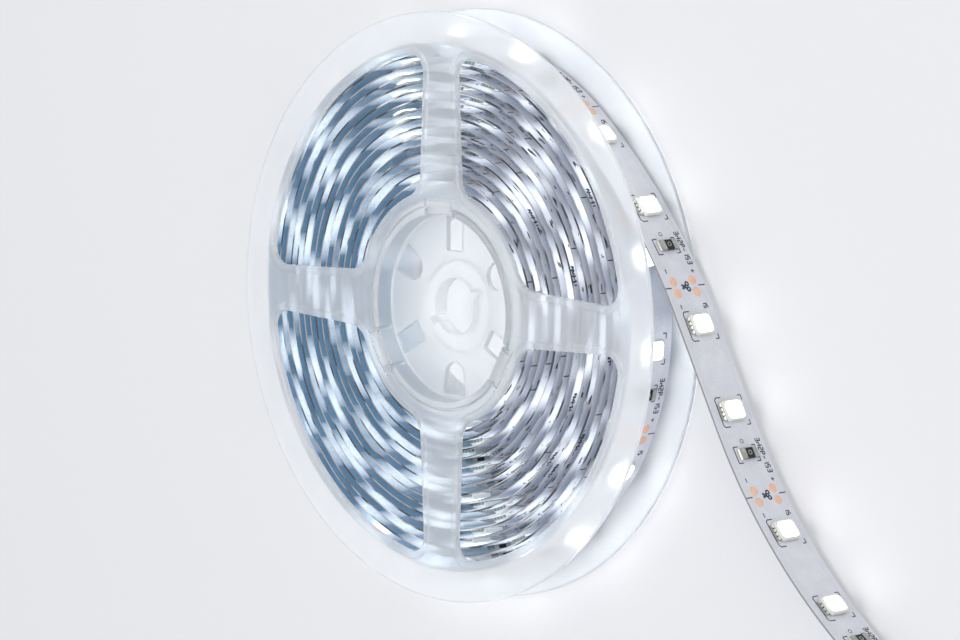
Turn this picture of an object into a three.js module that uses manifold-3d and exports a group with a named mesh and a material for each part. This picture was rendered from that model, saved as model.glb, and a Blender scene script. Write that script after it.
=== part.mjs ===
// Reel of led strip light: a flexible lit ribbon wound on a frosted snap-together reel.
// Millimetres, +Z up. The reel lies on its rear flange, with the front flange on top.
// The reel's axis is the Z axis of the drawing; the whole part is centred on its box at the end.

import * as THREE from 'three';
import Module from 'manifold-3d';

const wasm = await Module();
wasm.setup();

// Reel
const REEL_RADIUS = 44;
const FLANGE_THICKNESS = 0.8;
const BEAD_HEIGHT = 0.25;
const BEAD_WIDTH = 1.2;
const RIM_STEPS = 96;

// Windows between the spokes
const SPOKES = 4;
const WINDOW_OUTER_RADIUS = 37.9;
const WINDOW_MARGIN = 1.4;
const SPOKE_HALF_WIDTH_AT_HUB = 4.3;
const SPOKE_HALF_WIDTH_AT_RIM = 3.4;
const OUTER_FILLET = 2.6;
const INNER_FILLET = 4.0;

// Hub
const HUB_OUTER_RADIUS = 16.2;
const WINDOW_INNER_RADIUS = HUB_OUTER_RADIUS + WINDOW_MARGIN;
const SHOULDER_WIDTH = 1.2;
const SLEEVE_WALL = 1.0;
const SLEEVE_CLEARANCE = 0.3;
const SLEEVE_OUTER_RADIUS = HUB_OUTER_RADIUS - SHOULDER_WIDTH;
const SLEEVE_INNER_RADIUS = SLEEVE_OUTER_RADIUS - SLEEVE_WALL;
const FRONT_OPENING_RADIUS = SLEEVE_OUTER_RADIUS + SLEEVE_CLEARANCE;
const WEB_THICKNESS = 0.9;
const WEB_DEPTH = 2.9;
const BOSS_RADIUS = 6.9;
const BOSS_LENGTH = 2.5;
const ARBOR_RADIUS = 4.2;
const KEY_REACH = 5.5;
const KEY_WIDTH = 1.1;
const KEY_ANGLES = [28, 208];
const HUB_STEPS = 60;

// Openings in the web, between the boss and the sleeve
const SQUARE_OPENING_WIDTH = 3.3;
const SQUARE_OPENING_FROM = BOSS_RADIUS + 1.4;
const SQUARE_OPENING_TO = SLEEVE_INNER_RADIUS - 0.5;
const ROUND_OPENING_END_RADIUS = 2.0;
const ROUND_OPENING_HALF_WIDTH = 2.4;
const ROUND_OPENING_FROM = BOSS_RADIUS + 1.5;
const ROUND_OPENING_TO = SLEEVE_INNER_RADIUS - 0.8;

// Snap fingers, with a moulding opening below each one
const FINGER_ANGLES = [90, 210, 330];
const FINGER_WIDTH = 5.4;
const FINGER_SLOT = 0.6;
const HOOK_OVERLAP = 0.65;
const HOOK_REACH = FRONT_OPENING_RADIUS + HOOK_OVERLAP;
const HOOK_THICKNESS = 0.4;
const HOOK_POCKET_DEPTH = 0.4;
const HOOK_CLEARANCE = 0.25;
const FINGER_ROOT = 0.4;
const SEAT_GAP = 0.3;

// Strip
const STRIP_WIDTH = 8;
const STRIP_THICKNESS = 0.35;
const STRIP_CLEARANCE = 0.25;
const WINDING_CLEARANCE = 0.3;
const FIRST_TURN_RADIUS = HUB_OUTER_RADIUS + WINDING_CLEARANCE;
const TURN_PITCH = 1.325;
const TURNS = 17;
const STEPS_PER_TURN = 36;
const LEAVING_ANGLE = 52;
const JOINT_GAP = 0.3;

// One cut length of the strip: two lamps and one resistor
const SEGMENT_LENGTH = 32.4;
const LAMP_PLACES = [0.186, 0.594];
const RESISTOR_PLACE = 0.797;
const LAMP_LENGTH = 3.0;
const LAMP_WIDTH = 3.7;
const LAMP_HEIGHT = 0.75;
const LAMP_RECESS = 0.12;
const RESISTOR_LENGTH = 3.2;
const RESISTOR_WIDTH = 1.6;
const RESISTOR_HEIGHT = 0.55;
const SOLDER_GAP = 0.1;
const RESISTOR_END_WIDTH = 0.5;
const RESISTOR_STEP = 0.04;

// Lamps in the coil go a little way into the board, and are lower by what their corners need
const WOUND_LAMP_ROOT = 0.25;
const WOUND_LAMP_CLEARANCE = 0.13;

// The loose end: length and turn in degrees of each stretch, after it leaves the coil
const TAIL_SEGMENTS = 3;
const TAIL_LENGTH = TAIL_SEGMENTS * SEGMENT_LENGTH;
const FIRST_BEND_LENGTH = 36.9;
const STRAIGHT_LENGTH = 17;
const TAIL_STRETCHES = [
  { length: FIRST_BEND_LENGTH, turn: -24 },
  { length: STRAIGHT_LENGTH, turn: 0 },
  { length: TAIL_LENGTH - FIRST_BEND_LENGTH - STRAIGHT_LENGTH, turn: 29.2 },
];
const TAIL_STEPS = 30;

// Heights
const REAR_PLATE = BEAD_HEIGHT;
const REAR_INNER_FACE = REAR_PLATE + FLANGE_THICKNESS;
const STRIP_BOTTOM = REAR_INNER_FACE + STRIP_CLEARANCE;
const STRIP_TOP = STRIP_BOTTOM + STRIP_WIDTH;
const FRONT_PLATE = STRIP_TOP + STRIP_CLEARANCE;
const FRONT_FACE = FRONT_PLATE + FLANGE_THICKNESS;
const BEAD_TOP = FRONT_FACE + BEAD_HEIGHT;
const WEB_TOP = FRONT_FACE - WEB_DEPTH;
const WEB_BOTTOM = WEB_TOP - WEB_THICKNESS;
const STRIP_MIDDLE = (STRIP_BOTTOM + STRIP_TOP) / 2;

const radians = (degrees) => (degrees * Math.PI) / 180;
const degreesOf = (angle) => (angle * 180) / Math.PI;

// Materials

function frostedPlastic() {
  return new THREE.MeshStandardMaterial({
    name: 'frosted_plastic', color: 0xe9eef4, roughness: 0.45, metalness: 0,
  });
}

function stripBoard() {
  return new THREE.MeshStandardMaterial({
    name: 'strip_board', color: 0xd9dbe4, roughness: 0.35, metalness: 0,
  });
}

function lampWhite() {
  return new THREE.MeshStandardMaterial({
    name: 'lamp_white', color: 0xfdfdf6, roughness: 0.4, metalness: 0,
  });
}

function resistorBlack() {
  return new THREE.MeshStandardMaterial({
    name: 'resistor_black', color: 0x1c1c1e, roughness: 0.4, metalness: 0,
  });
}

// Solids: closed meshes with shared corners, for joining and cutting

function solidOf(geometry) {
  const position = geometry.getAttribute('position');
  const index = geometry.getIndex();
  const corners = index ? index.count : position.count;
  const seen = new Map();
  const points = [];
  const triangles = [];
  for (let i = 0; i < corners; i += 3) {
    const face = [];
    for (let k = 0; k < 3; k += 1) {
      const j = index ? index.getX(i + k) : i + k;
      const x = position.getX(j);
      const y = position.getY(j);
      const z = position.getZ(j);
      const key = [x, y, z].map((v) => Math.round(v * 1e4)).join(',');
      if (!seen.has(key)) {
        seen.set(key, points.length / 3);
        points.push(x, y, z);
      }
      face.push(seen.get(key));
    }
    if (face[0] !== face[1] && face[1] !== face[2] && face[2] !== face[0]) {
      triangles.push(...face);
    }
  }
  return new wasm.Manifold(new wasm.Mesh({
    numProp: 3,
    vertProperties: new Float32Array(points),
    triVerts: new Uint32Array(triangles),
  }));
}

function meshOf(solid, name, material) {
  const mesh = solid.getMesh();
  const geometry = new THREE.BufferGeometry();
  geometry.setAttribute('position', new THREE.BufferAttribute(mesh.vertProperties, 3));
  geometry.setIndex(new THREE.BufferAttribute(mesh.triVerts, 1));
  geometry.computeVertexNormals();
  const result = new THREE.Mesh(geometry, material);
  result.name = name;
  return result;
}

// A flat outline, with holes, raised from one height to another
function prism(outline, holes, bottom, top) {
  const shape = new THREE.Shape(outline);
  shape.holes = holes.map((hole) => new THREE.Path(hole));
  const geometry = new THREE.ExtrudeGeometry(shape, {
    depth: top - bottom, bevelEnabled: false, steps: 1,
  });
  geometry.translate(0, 0, bottom);
  return solidOf(geometry);
}

function circle(radius, steps) {
  const points = [];
  for (let i = 0; i < steps; i += 1) {
    const angle = (2 * Math.PI * i) / steps;
    points.push(new THREE.Vector2(radius * Math.cos(angle), radius * Math.sin(angle)));
  }
  return points;
}

function arcPoints(centre, radius, from, to, steps) {
  const points = [];
  for (let i = 0; i <= steps; i += 1) {
    const angle = from + ((to - from) * i) / steps;
    points.push(new THREE.Vector2(
      centre.x + radius * Math.cos(angle),
      centre.y + radius * Math.sin(angle),
    ));
  }
  return points;
}

function turned(points, degrees) {
  const centre = new THREE.Vector2(0, 0);
  return points.map((point) => point.clone().rotateAround(centre, radians(degrees)));
}

// A rectangle that lies along a radius, from one radius to another
function radialBox(from, to, width, degrees) {
  const points = [
    new THREE.Vector2(from, -width / 2),
    new THREE.Vector2(to, -width / 2),
    new THREE.Vector2(to, width / 2),
    new THREE.Vector2(from, width / 2),
  ];
  return turned(points, degrees);
}

// Reel windows

// The fan-shaped window between the spokes at 0 and 90 degrees, made larger all round by grow.
// One half is found with its two fillets, and the other half is its mirror in the 45 degree line.
function windowOutline(grow) {
  const run = WINDOW_OUTER_RADIUS - WINDOW_INNER_RADIUS;
  const taper = Math.atan2(SPOKE_HALF_WIDTH_AT_HUB - SPOKE_HALF_WIDTH_AT_RIM, run);
  const along = new THREE.Vector2(Math.cos(taper), -Math.sin(taper));
  const inward = new THREE.Vector2(Math.sin(taper), Math.cos(taper));
  const foot = new THREE.Vector2(WINDOW_INNER_RADIUS, SPOKE_HALF_WIDTH_AT_HUB);
  const edge = foot.dot(inward) - grow;
  const outerRadius = WINDOW_OUTER_RADIUS + grow;
  const innerRadius = WINDOW_INNER_RADIUS - grow;

  function filletCentre(radius, fillet) {
    const off = edge + fillet;
    const reach = Math.sqrt(radius * radius - off * off);
    return inward.clone().multiplyScalar(off).addScaledVector(along, reach);
  }

  const outerFillet = OUTER_FILLET + grow;
  const innerFillet = INNER_FILLET + grow;
  const outer = filletCentre(outerRadius - outerFillet, outerFillet);
  const inner = filletCentre(innerRadius + innerFillet, innerFillet);
  const side = -Math.PI / 2 - taper;
  const origin = new THREE.Vector2(0, 0);
  const half = [
    ...arcPoints(origin, innerRadius, Math.PI / 4, inner.angle(), 2),
    ...arcPoints(inner, innerFillet, inner.angle() - Math.PI, side, 4).slice(1),
    ...arcPoints(outer, outerFillet, side, outer.angle(), 4),
    ...arcPoints(origin, outerRadius, outer.angle(), Math.PI / 4, 5).slice(1),
  ];
  const mirror = half.slice(1, -1).reverse().map((point) => new THREE.Vector2(point.y, point.x));
  return [...half, ...mirror];
}

function windows(grow) {
  const outlines = [];
  for (let i = 0; i < SPOKES; i += 1) {
    outlines.push(turned(windowOutline(grow), (360 / SPOKES) * i));
  }
  return outlines;
}

// A flange plate with its four windows and the raised bead round each, on its outer side
function flangePlate(holeRadius, plate, beadEnd) {
  const bottom = Math.min(plate, beadEnd);
  const top = Math.max(plate + FLANGE_THICKNESS, beadEnd);
  const hole = circle(holeRadius, HUB_STEPS);
  let solid = prism(
    circle(REEL_RADIUS, RIM_STEPS),
    [hole, ...windows(BEAD_WIDTH)],
    plate,
    plate + FLANGE_THICKNESS,
  );
  const openings = windows(0);
  windows(BEAD_WIDTH).forEach((outline, i) => {
    solid = solid.add(prism(outline, [openings[i]], bottom, top));
  });
  return solid;
}

// Front moulding: a plain flange, with a pocket in its hub ring for each hook
function frontFlange() {
  let solid = flangePlate(FRONT_OPENING_RADIUS, FRONT_PLATE, BEAD_TOP);
  FINGER_ANGLES.forEach((degrees) => {
    const pocket = radialBox(
      FRONT_OPENING_RADIUS - 1.5,
      HOOK_REACH + HOOK_CLEARANCE,
      FINGER_WIDTH + 2 * FINGER_SLOT,
      degrees,
    );
    solid = solid.subtract(prism(pocket, [], FRONT_FACE - HOOK_POCKET_DEPTH, BEAD_TOP + 1));
  });
  return meshOf(solid, 'front_flange', frostedPlastic());
}

// A web opening below a finger
function squareOpening(degrees) {
  return radialBox(SQUARE_OPENING_FROM, SQUARE_OPENING_TO, SQUARE_OPENING_WIDTH, degrees);
}

// A web opening with a round inner end, for the gaps between the fingers
function roundedOpening(degrees) {
  const innerEnd = new THREE.Vector2(ROUND_OPENING_FROM + ROUND_OPENING_END_RADIUS, 0);
  const points = [
    ...arcPoints(innerEnd, ROUND_OPENING_END_RADIUS, Math.PI / 2, (3 * Math.PI) / 2, 6),
    new THREE.Vector2(ROUND_OPENING_TO, -ROUND_OPENING_HALF_WIDTH),
    new THREE.Vector2(ROUND_OPENING_TO, ROUND_OPENING_HALF_WIDTH),
  ];
  return turned(points, degrees);
}

// Arbor hole with its two key slots
function arborCut(bottom, top) {
  let cut = prism(circle(ARBOR_RADIUS, 36), [], bottom, top);
  KEY_ANGLES.forEach((degrees) => {
    cut = cut.add(prism(radialBox(2, KEY_REACH, KEY_WIDTH, degrees), [], bottom, top));
  });
  return cut;
}

// Rear moulding: the flange, the hub that carries the strip, the web with its arbor boss,
// and the sleeve with three snap fingers that hold the front flange
function rearFlange() {
  let solid = flangePlate(SLEEVE_INNER_RADIUS, REAR_PLATE, 0);

  const hubTop = FRONT_PLATE - SEAT_GAP;
  const bore = circle(SLEEVE_INNER_RADIUS, HUB_STEPS);
  solid = solid.add(prism(circle(HUB_OUTER_RADIUS, HUB_STEPS), [bore], REAR_PLATE + 0.1, hubTop));
  solid = solid.add(prism(circle(SLEEVE_OUTER_RADIUS, HUB_STEPS), [bore], hubTop - 0.5, FRONT_FACE));

  let web = prism(circle(SLEEVE_INNER_RADIUS + 0.3, HUB_STEPS), [], WEB_BOTTOM, WEB_TOP);
  web = web.add(prism(circle(BOSS_RADIUS, 48), [], WEB_TOP - BOSS_LENGTH, WEB_TOP));
  web = web.subtract(arborCut(WEB_TOP - BOSS_LENGTH - 1, WEB_TOP + 1));
  FINGER_ANGLES.forEach((degrees) => {
    const square = prism(squareOpening(degrees), [], WEB_BOTTOM - 1, WEB_TOP + 1);
    const rounded = prism(roundedOpening(degrees - 60), [], WEB_BOTTOM - 1, WEB_TOP + 1);
    web = web.subtract(square).subtract(rounded);
  });
  solid = solid.add(web);

  FINGER_ANGLES.forEach((degrees) => {
    [-1, 1].forEach((side) => {
      const slot = radialBox(SLEEVE_INNER_RADIUS - 1, HUB_OUTER_RADIUS + 1, FINGER_SLOT, 0);
      const shift = (side * (FINGER_WIDTH + FINGER_SLOT)) / 2;
      slot.forEach((point) => point.setY(point.y + shift));
      const cut = turned(slot, degrees);
      solid = solid.subtract(prism(cut, [], WEB_TOP + FINGER_ROOT, FRONT_FACE + 1));
    });
    const hookBottom = FRONT_FACE - HOOK_POCKET_DEPTH + HOOK_CLEARANCE;
    const hook = radialBox(SLEEVE_INNER_RADIUS + 0.1, HOOK_REACH, FINGER_WIDTH - 0.4, degrees);
    solid = solid.add(prism(hook, [], hookBottom, hookBottom + HOOK_THICKNESS));
  });
  return meshOf(solid, 'rear_flange', frostedPlastic());
}

// Strip

// Angle in radians run along the spiral, from the coil's inner end, at a length along the strip
function spiralAngle(length) {
  const start = FIRST_TURN_RADIUS + STRIP_THICKNESS;
  const growth = TURN_PITCH / (2 * Math.PI);
  return (Math.sqrt(start * start + 2 * growth * length) - start) / growth;
}

function spiralLength(angle) {
  const start = FIRST_TURN_RADIUS + STRIP_THICKNESS;
  return start * angle + (TURN_PITCH * angle * angle) / (4 * Math.PI);
}

// The strip winds outwards clockwise, as seen from the front, and ends at the leaving angle
function spiralPoint(angle, offset) {
  const radius = FIRST_TURN_RADIUS + (TURN_PITCH * angle) / (2 * Math.PI) + offset;
  const polar = radians(LEAVING_ANGLE) - angle;
  return new THREE.Vector2(radius * Math.cos(polar), radius * Math.sin(polar));
}

// The wound turns as one ribbon, with the outline of every lamp on its outer face
function coil() {
  const steps = TURNS * STEPS_PER_TURN;
  const inner = [];
  const outer = [];
  for (let i = 0; i <= steps; i += 1) {
    const angle = (2 * Math.PI * i) / STEPS_PER_TURN;
    inner.push(spiralPoint(angle, 0));
    outer.push(spiralPoint(angle, STRIP_THICKNESS));
  }
  const ribbon = prism([...inner, ...outer.reverse()], [], STRIP_BOTTOM, STRIP_TOP);

  const lamps = [];
  const length = spiralLength(2 * Math.PI * TURNS);
  for (let segment = 1; segment * SEGMENT_LENGTH < length; segment += 1) {
    LAMP_PLACES.forEach((place) => {
      const angle = spiralAngle(length - (segment - place) * SEGMENT_LENGTH);
      const foot = spiralPoint(angle, STRIP_THICKNESS - WOUND_LAMP_ROOT);
      const height = WOUND_LAMP_ROOT + LAMP_HEIGHT - WOUND_LAMP_CLEARANCE;
      const lamp = radialBox(0, height, LAMP_LENGTH, LEAVING_ANGLE - degreesOf(angle));
      const placed = lamp.map((point) => point.add(foot));
      lamps.push(prism(placed, [], STRIP_MIDDLE - LAMP_WIDTH / 2, STRIP_MIDDLE + LAMP_WIDTH / 2));
    });
  }
  return meshOf(wasm.Manifold.union([ribbon, ...lamps]), 'strip_coil', stripBoard());
}

// A place on the loose end: its point on the inner face, and its heading
function tailPlace(distance) {
  const end = 2 * Math.PI * TURNS;
  const point = spiralPoint(end, 0);
  const climb = Math.atan2(TURN_PITCH, 2 * Math.PI * point.length());
  let heading = radians(LEAVING_ANGLE - 90) + climb;
  let left = distance;
  TAIL_STRETCHES.forEach((stretch, i) => {
    const last = i === TAIL_STRETCHES.length - 1;
    const run = last ? left : Math.min(left, stretch.length);
    const turn = (radians(stretch.turn) * run) / stretch.length;
    const chord = turn === 0 ? run : (2 * Math.sin(turn / 2) * run) / turn;
    point.x += chord * Math.cos(heading + turn / 2);
    point.y += chord * Math.sin(heading + turn / 2);
    heading += turn;
    left -= run;
  });
  return { point, heading };
}

// Moves along the strip and away from its inner face, at one place of the loose end
function tailPoint(distance, offset, ahead = 0) {
  const { point, heading } = tailPlace(distance);
  return new THREE.Vector2(
    point.x + ahead * Math.cos(heading) - offset * Math.sin(heading),
    point.y + ahead * Math.sin(heading) + offset * Math.cos(heading),
  );
}

// The loose end as one ribbon, which starts just clear of the coil's last turn
function tail() {
  const inner = [];
  const outer = [];
  for (let i = 0; i <= TAIL_STEPS; i += 1) {
    const distance = JOINT_GAP + ((TAIL_LENGTH - JOINT_GAP) * i) / TAIL_STEPS;
    inner.push(tailPoint(distance, 0));
    outer.push(tailPoint(distance, STRIP_THICKNESS));
  }
  const ribbon = prism([...inner, ...outer.reverse()], [], STRIP_BOTTOM, STRIP_TOP);
  return meshOf(ribbon, 'strip_tail', stripBoard());
}

// A block on the outer face of the loose end, between two distances from that face
function tailBlock(distance, length, width, from, to) {
  const points = [
    tailPoint(distance, STRIP_THICKNESS + from, -length / 2),
    tailPoint(distance, STRIP_THICKNESS + from, length / 2),
    tailPoint(distance, STRIP_THICKNESS + to, length / 2),
    tailPoint(distance, STRIP_THICKNESS + to, -length / 2),
  ];
  return prism(points, [], STRIP_MIDDLE - width / 2, STRIP_MIDDLE + width / 2);
}

// One lamp package: a body with a sunk light window, and a metal foot at each end
function lamp(number, distance) {
  const top = SOLDER_GAP + LAMP_HEIGHT;
  const body = tailBlock(distance, LAMP_LENGTH, LAMP_WIDTH, SOLDER_GAP + 0.08, top);
  const window = tailBlock(distance, LAMP_LENGTH - 0.7, LAMP_WIDTH - 0.8, top - LAMP_RECESS, top + 1);
  const foot = tailBlock(distance, LAMP_LENGTH - 0.9, LAMP_WIDTH + 0.3, SOLDER_GAP, SOLDER_GAP + 0.3);
  const solid = body.add(foot).subtract(window);
  return meshOf(solid, `lamp_${number}`, lampWhite());
}

// One chip resistor, with its long side across the strip and its body a little lower than its ends
function resistor(number, distance) {
  const top = SOLDER_GAP + RESISTOR_HEIGHT;
  const ends = tailBlock(distance, RESISTOR_WIDTH, RESISTOR_LENGTH, SOLDER_GAP, top);
  const middle = RESISTOR_LENGTH - 2 * RESISTOR_END_WIDTH;
  const groove = tailBlock(distance, RESISTOR_WIDTH + 1, middle, top - RESISTOR_STEP, top + 1);
  return meshOf(ends.subtract(groove), `resistor_${number}`, resistorBlack());
}

function reelParts() {
  const parts = [frontFlange(), rearFlange(), coil(), tail()];
  for (let segment = 0; segment < TAIL_SEGMENTS; segment += 1) {
    const start = segment * SEGMENT_LENGTH;
    LAMP_PLACES.forEach((place, i) => {
      parts.push(lamp(LAMP_PLACES.length * segment + i + 1, start + place * SEGMENT_LENGTH));
    });
    parts.push(resistor(segment + 1, start + RESISTOR_PLACE * SEGMENT_LENGTH));
  }
  return parts;
}

// The whole part stands on z = 0, with the middle of its box over the origin
function centred(parts) {
  const group = new THREE.Group();
  group.name = 'led_strip_reel';
  group.add(...parts);
  const middle = new THREE.Box3().setFromObject(group).getCenter(new THREE.Vector3());
  parts.forEach((part) => part.geometry.translate(-middle.x, -middle.y, 0));
  return group;
}

export default centred(reelParts());
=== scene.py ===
# %% [markdown]
# # A reel of led strip light
# About three metres of flexible lit strip lie wound on a thin frosted reel, and the last ten
# centimetres run free. The solids of the part are loaded first and stay where they are. Every
# finished piece below is built around them, in the same place, in metres.

# %% Load the solids of the part
import bisect
import math

import bmesh
import bpy
from mathutils import Matrix, Vector
from mathutils.geometry import tessellate_polygon


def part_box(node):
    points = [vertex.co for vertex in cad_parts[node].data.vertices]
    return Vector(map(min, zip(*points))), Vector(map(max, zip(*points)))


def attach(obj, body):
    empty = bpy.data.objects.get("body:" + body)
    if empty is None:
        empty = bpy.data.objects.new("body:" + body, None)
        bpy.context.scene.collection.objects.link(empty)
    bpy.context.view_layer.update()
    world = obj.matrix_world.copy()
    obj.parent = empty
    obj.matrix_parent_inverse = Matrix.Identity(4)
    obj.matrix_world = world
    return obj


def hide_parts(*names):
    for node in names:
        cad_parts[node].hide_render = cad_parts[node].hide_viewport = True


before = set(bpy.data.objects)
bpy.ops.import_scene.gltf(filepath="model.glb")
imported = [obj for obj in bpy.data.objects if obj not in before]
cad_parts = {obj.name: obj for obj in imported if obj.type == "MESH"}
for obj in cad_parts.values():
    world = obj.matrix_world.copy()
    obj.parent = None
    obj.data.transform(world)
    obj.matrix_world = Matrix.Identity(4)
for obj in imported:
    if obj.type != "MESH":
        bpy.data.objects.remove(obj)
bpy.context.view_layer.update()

print("solids:", sorted(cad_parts))

# %% [markdown]
# ## Sizes
# The reel and the strip keep the sizes of the solids. They are written in millimetres and
# multiplied by MM, because a plastics or circuit drawing is read in millimetres. The reel's axis
# is the middle of the rear flange, so it is measured and not typed.

# %% Sizes of the reel and the strip
MM = 0.001

REEL_RADIUS = 44.0
REAR_FACE = 0.25
REAR_INNER_FACE = 1.05
FRONT_INNER_FACE = 9.55
FRONT_FACE = 10.35

STRIP_WIDTH = 8.0
STRIP_THICKNESS = 0.35
BACKING_THICKNESS = 0.13
STRIP_MIDDLE = 5.3

rear_low, rear_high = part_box("rear_flange")
AXIS = (rear_low + rear_high) / 2
print("reel axis at", [round(v / MM, 2) for v in AXIS.xy], "mm")

# %% [markdown]
# ## Camera
# The photograph looks at the upright reel from its left front. Here the reel lies on its rear
# flange, so the camera looks down on it and is rolled until the picture stands as in the
# photograph. Three axes at right angles say it plainly: the picture's right, its up, and the
# way back to the camera. A long lens keeps the two flanges nearly the same size.

# %% Camera at the photograph's angle
VIEW_AZIMUTH = math.radians(46.59)
VIEW_ELEVATION = math.radians(7.43)
VIEW_DISTANCE = 733.3
VIEW_SHIFT_RIGHT = -2.30
VIEW_SHIFT_UP = 2.19
LENS = 184.53
SENSOR_WIDTH = 36


def put(name, data):
    """A new object in the scene."""
    made = bpy.data.objects.new(name, data)
    bpy.context.scene.collection.objects.link(made)
    return made


def aim_camera():
    sine, cosine = math.sin(VIEW_AZIMUTH), math.cos(VIEW_AZIMUTH)
    low, high = math.cos(VIEW_ELEVATION), math.sin(VIEW_ELEVATION)
    right = Vector((cosine, 0, -sine))
    up = Vector((-sine * high, low, -cosine * high))
    back = Vector((sine * low, high, cosine * low))
    target = Vector((AXIS.x, AXIS.y, STRIP_MIDDLE * MM))
    shift = right * VIEW_SHIFT_RIGHT + up * VIEW_SHIFT_UP - back * VIEW_DISTANCE
    data = bpy.data.cameras.new("camera")
    data.sensor_width = SENSOR_WIDTH
    data.lens = LENS
    data.clip_start = 0.01
    camera = put("camera", data)
    turn = Matrix((right, up, back)).transposed().to_4x4()
    camera.matrix_world = Matrix.Translation(target - shift * MM) @ turn
    bpy.context.scene.camera = camera
    return camera


camera = aim_camera()
print("camera at", [round(v, 3) for v in camera.location])

# %% [markdown]
# ## Floor and light
# The reel lies on a wide pale floor. Big lamps and a pale sky light it softly, at a level where
# a colour comes out about as it is written. The floor stays a plain pale grey, so that the
# white edges of the frosted plastic still show against it.

# %% Floor, sky and soft lamps
FLOOR_SIZE = 4.0
FLOOR_DROP = 0.05 * MM
FLOOR_COLOUR = (0.80, 0.80, 0.82, 1)
SKY_COLOUR = (0.97, 0.98, 1.0, 1)
SKY_STRENGTH = 0.66
# Name, place and width in metres, and watts
SOFT_LAMPS = (
    ("top_lamp", (0.1, 0.15, 0.9), 0.5, 3.3),
    ("side_lamp", (0.9, -0.25, 0.5), 0.5, 0.9),
)


def make_floor():
    half = FLOOR_SIZE / 2
    mesh = bpy.data.meshes.new("floor")
    corners = [(-half, -half, 0), (half, -half, 0), (half, half, 0), (-half, half, 0)]
    mesh.from_pydata(corners, [], [(0, 1, 2, 3)])
    mesh.transform(Matrix.Translation((0, 0, -FLOOR_DROP)))
    floor = put("floor", mesh)
    material = bpy.data.materials.new("floor")
    material.use_nodes = True
    shader = material.node_tree.nodes["Principled BSDF"]
    shader.inputs["Base Color"].default_value = FLOOR_COLOUR
    shader.inputs["Roughness"].default_value = 0.7
    mesh.materials.append(material)


def soft_lamp(name, place, size, watts):
    data = bpy.data.lights.new(name, "AREA")
    data.shape = "DISK"
    data.size = size
    data.energy = watts
    lamp = put(name, data)
    lamp.location = place
    lamp.rotation_mode = "QUATERNION"
    lamp.rotation_quaternion = Vector(place).to_track_quat("Z", "Y")


def light_sky():
    world = bpy.data.worlds.new("sky")
    world.use_nodes = True
    background = world.node_tree.nodes["Background"]
    background.inputs["Color"].default_value = SKY_COLOUR
    background.inputs["Strength"].default_value = SKY_STRENGTH
    bpy.context.scene.world = world


make_floor()
light_sky()
for lamp in SOFT_LAMPS:
    soft_lamp(*lamp)
bpy.context.scene.view_settings.view_transform = "Standard"

# %% [markdown]
# ## A small kit for shaders
# Each finish is a few nodes and one shader. These helpers add a node, feed its sockets with
# numbers, colours or links, and keep the code of each finish short.

# %% Shader helpers
BLACK = (0, 0, 0)


def set_input(tree, socket, value):
    """Links an input, or sets it. A colour is given as red, green and blue."""
    if isinstance(value, bpy.types.NodeSocket):
        tree.links.new(value, socket)
    elif socket.type == "RGBA":
        socket.default_value = (*value, 1)
    else:
        socket.default_value = value


def feed(tree, node, values):
    """Sets or links a node's inputs, by name or number."""
    for key, value in values.items():
        set_input(tree, node.inputs[key], value)
    return node


def add(tree, kind, inputs=None, **settings):
    """A new node with its settings and its inputs."""
    node = tree.nodes.new(kind)
    for key, value in settings.items():
        setattr(node, key, value)
    return feed(tree, node, inputs or {})


def math_node(tree, operation, *values):
    return add(tree, "ShaderNodeMath", dict(enumerate(values)), operation=operation).outputs[0]


def times(tree, one, other):
    return math_node(tree, "MULTIPLY", one, other)


def vector_node(tree, operation, *values):
    node = add(tree, "ShaderNodeVectorMath", dict(enumerate(values)), operation=operation)
    return node.outputs[0]


def axes(tree, place):
    """The X, Y and Z of a place."""
    return add(tree, "ShaderNodeSeparateXYZ", {"Vector": place}).outputs


def blend(tree, share, first, second):
    """A colour between two colours."""
    node = add(tree, "ShaderNodeMix", {"Factor": share}, data_type="RGBA")
    colours = [s for s in node.inputs if s.type == "RGBA"]
    for socket, value in zip(colours, (first, second)):
        set_input(tree, socket, value)
    return next(s for s in node.outputs if s.type == "RGBA")


def step(tree, value, low, high):
    """0 below low, 1 above high, and a straight slope between."""
    inputs = {"Value": value, "From Min": low, "From Max": high}
    return add(tree, "ShaderNodeMapRange", inputs).outputs["Result"]


def new_group(name, kind, sockets):
    """A node group with its sockets, each given by its name, its way and its kind of value."""
    group = bpy.data.node_groups.new(name, kind)
    for label, way, value in sockets:
        group.interface.new_socket(label, in_out=way, socket_type="NodeSocket" + value)
    return group


def new_finish(name):
    """A material with its node tree and its shader."""
    material = bpy.data.materials.new(name)
    material.use_nodes = True
    return material, material.node_tree, material.node_tree.nodes["Principled BSDF"]


def own_place(tree):
    return add(tree, "ShaderNodeTexCoord").outputs["Object"]


print("shader helpers ready")

# %% [markdown]
# ## Grain, one effect for every finish
# Nothing on the reel is perfectly even: moulded plastic has a fine frost, a lacquered board has
# a faint ripple, and metal ends are dulled in spots. One node group makes that unevenness from
# two sizes of noise. It gives a colour, a roughness and a height, and each finish sets its own
# scale and its own range, so the group is built once.

# %% The grain group
FINER = 7.0
BROAD_SHARE = 0.6


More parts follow.
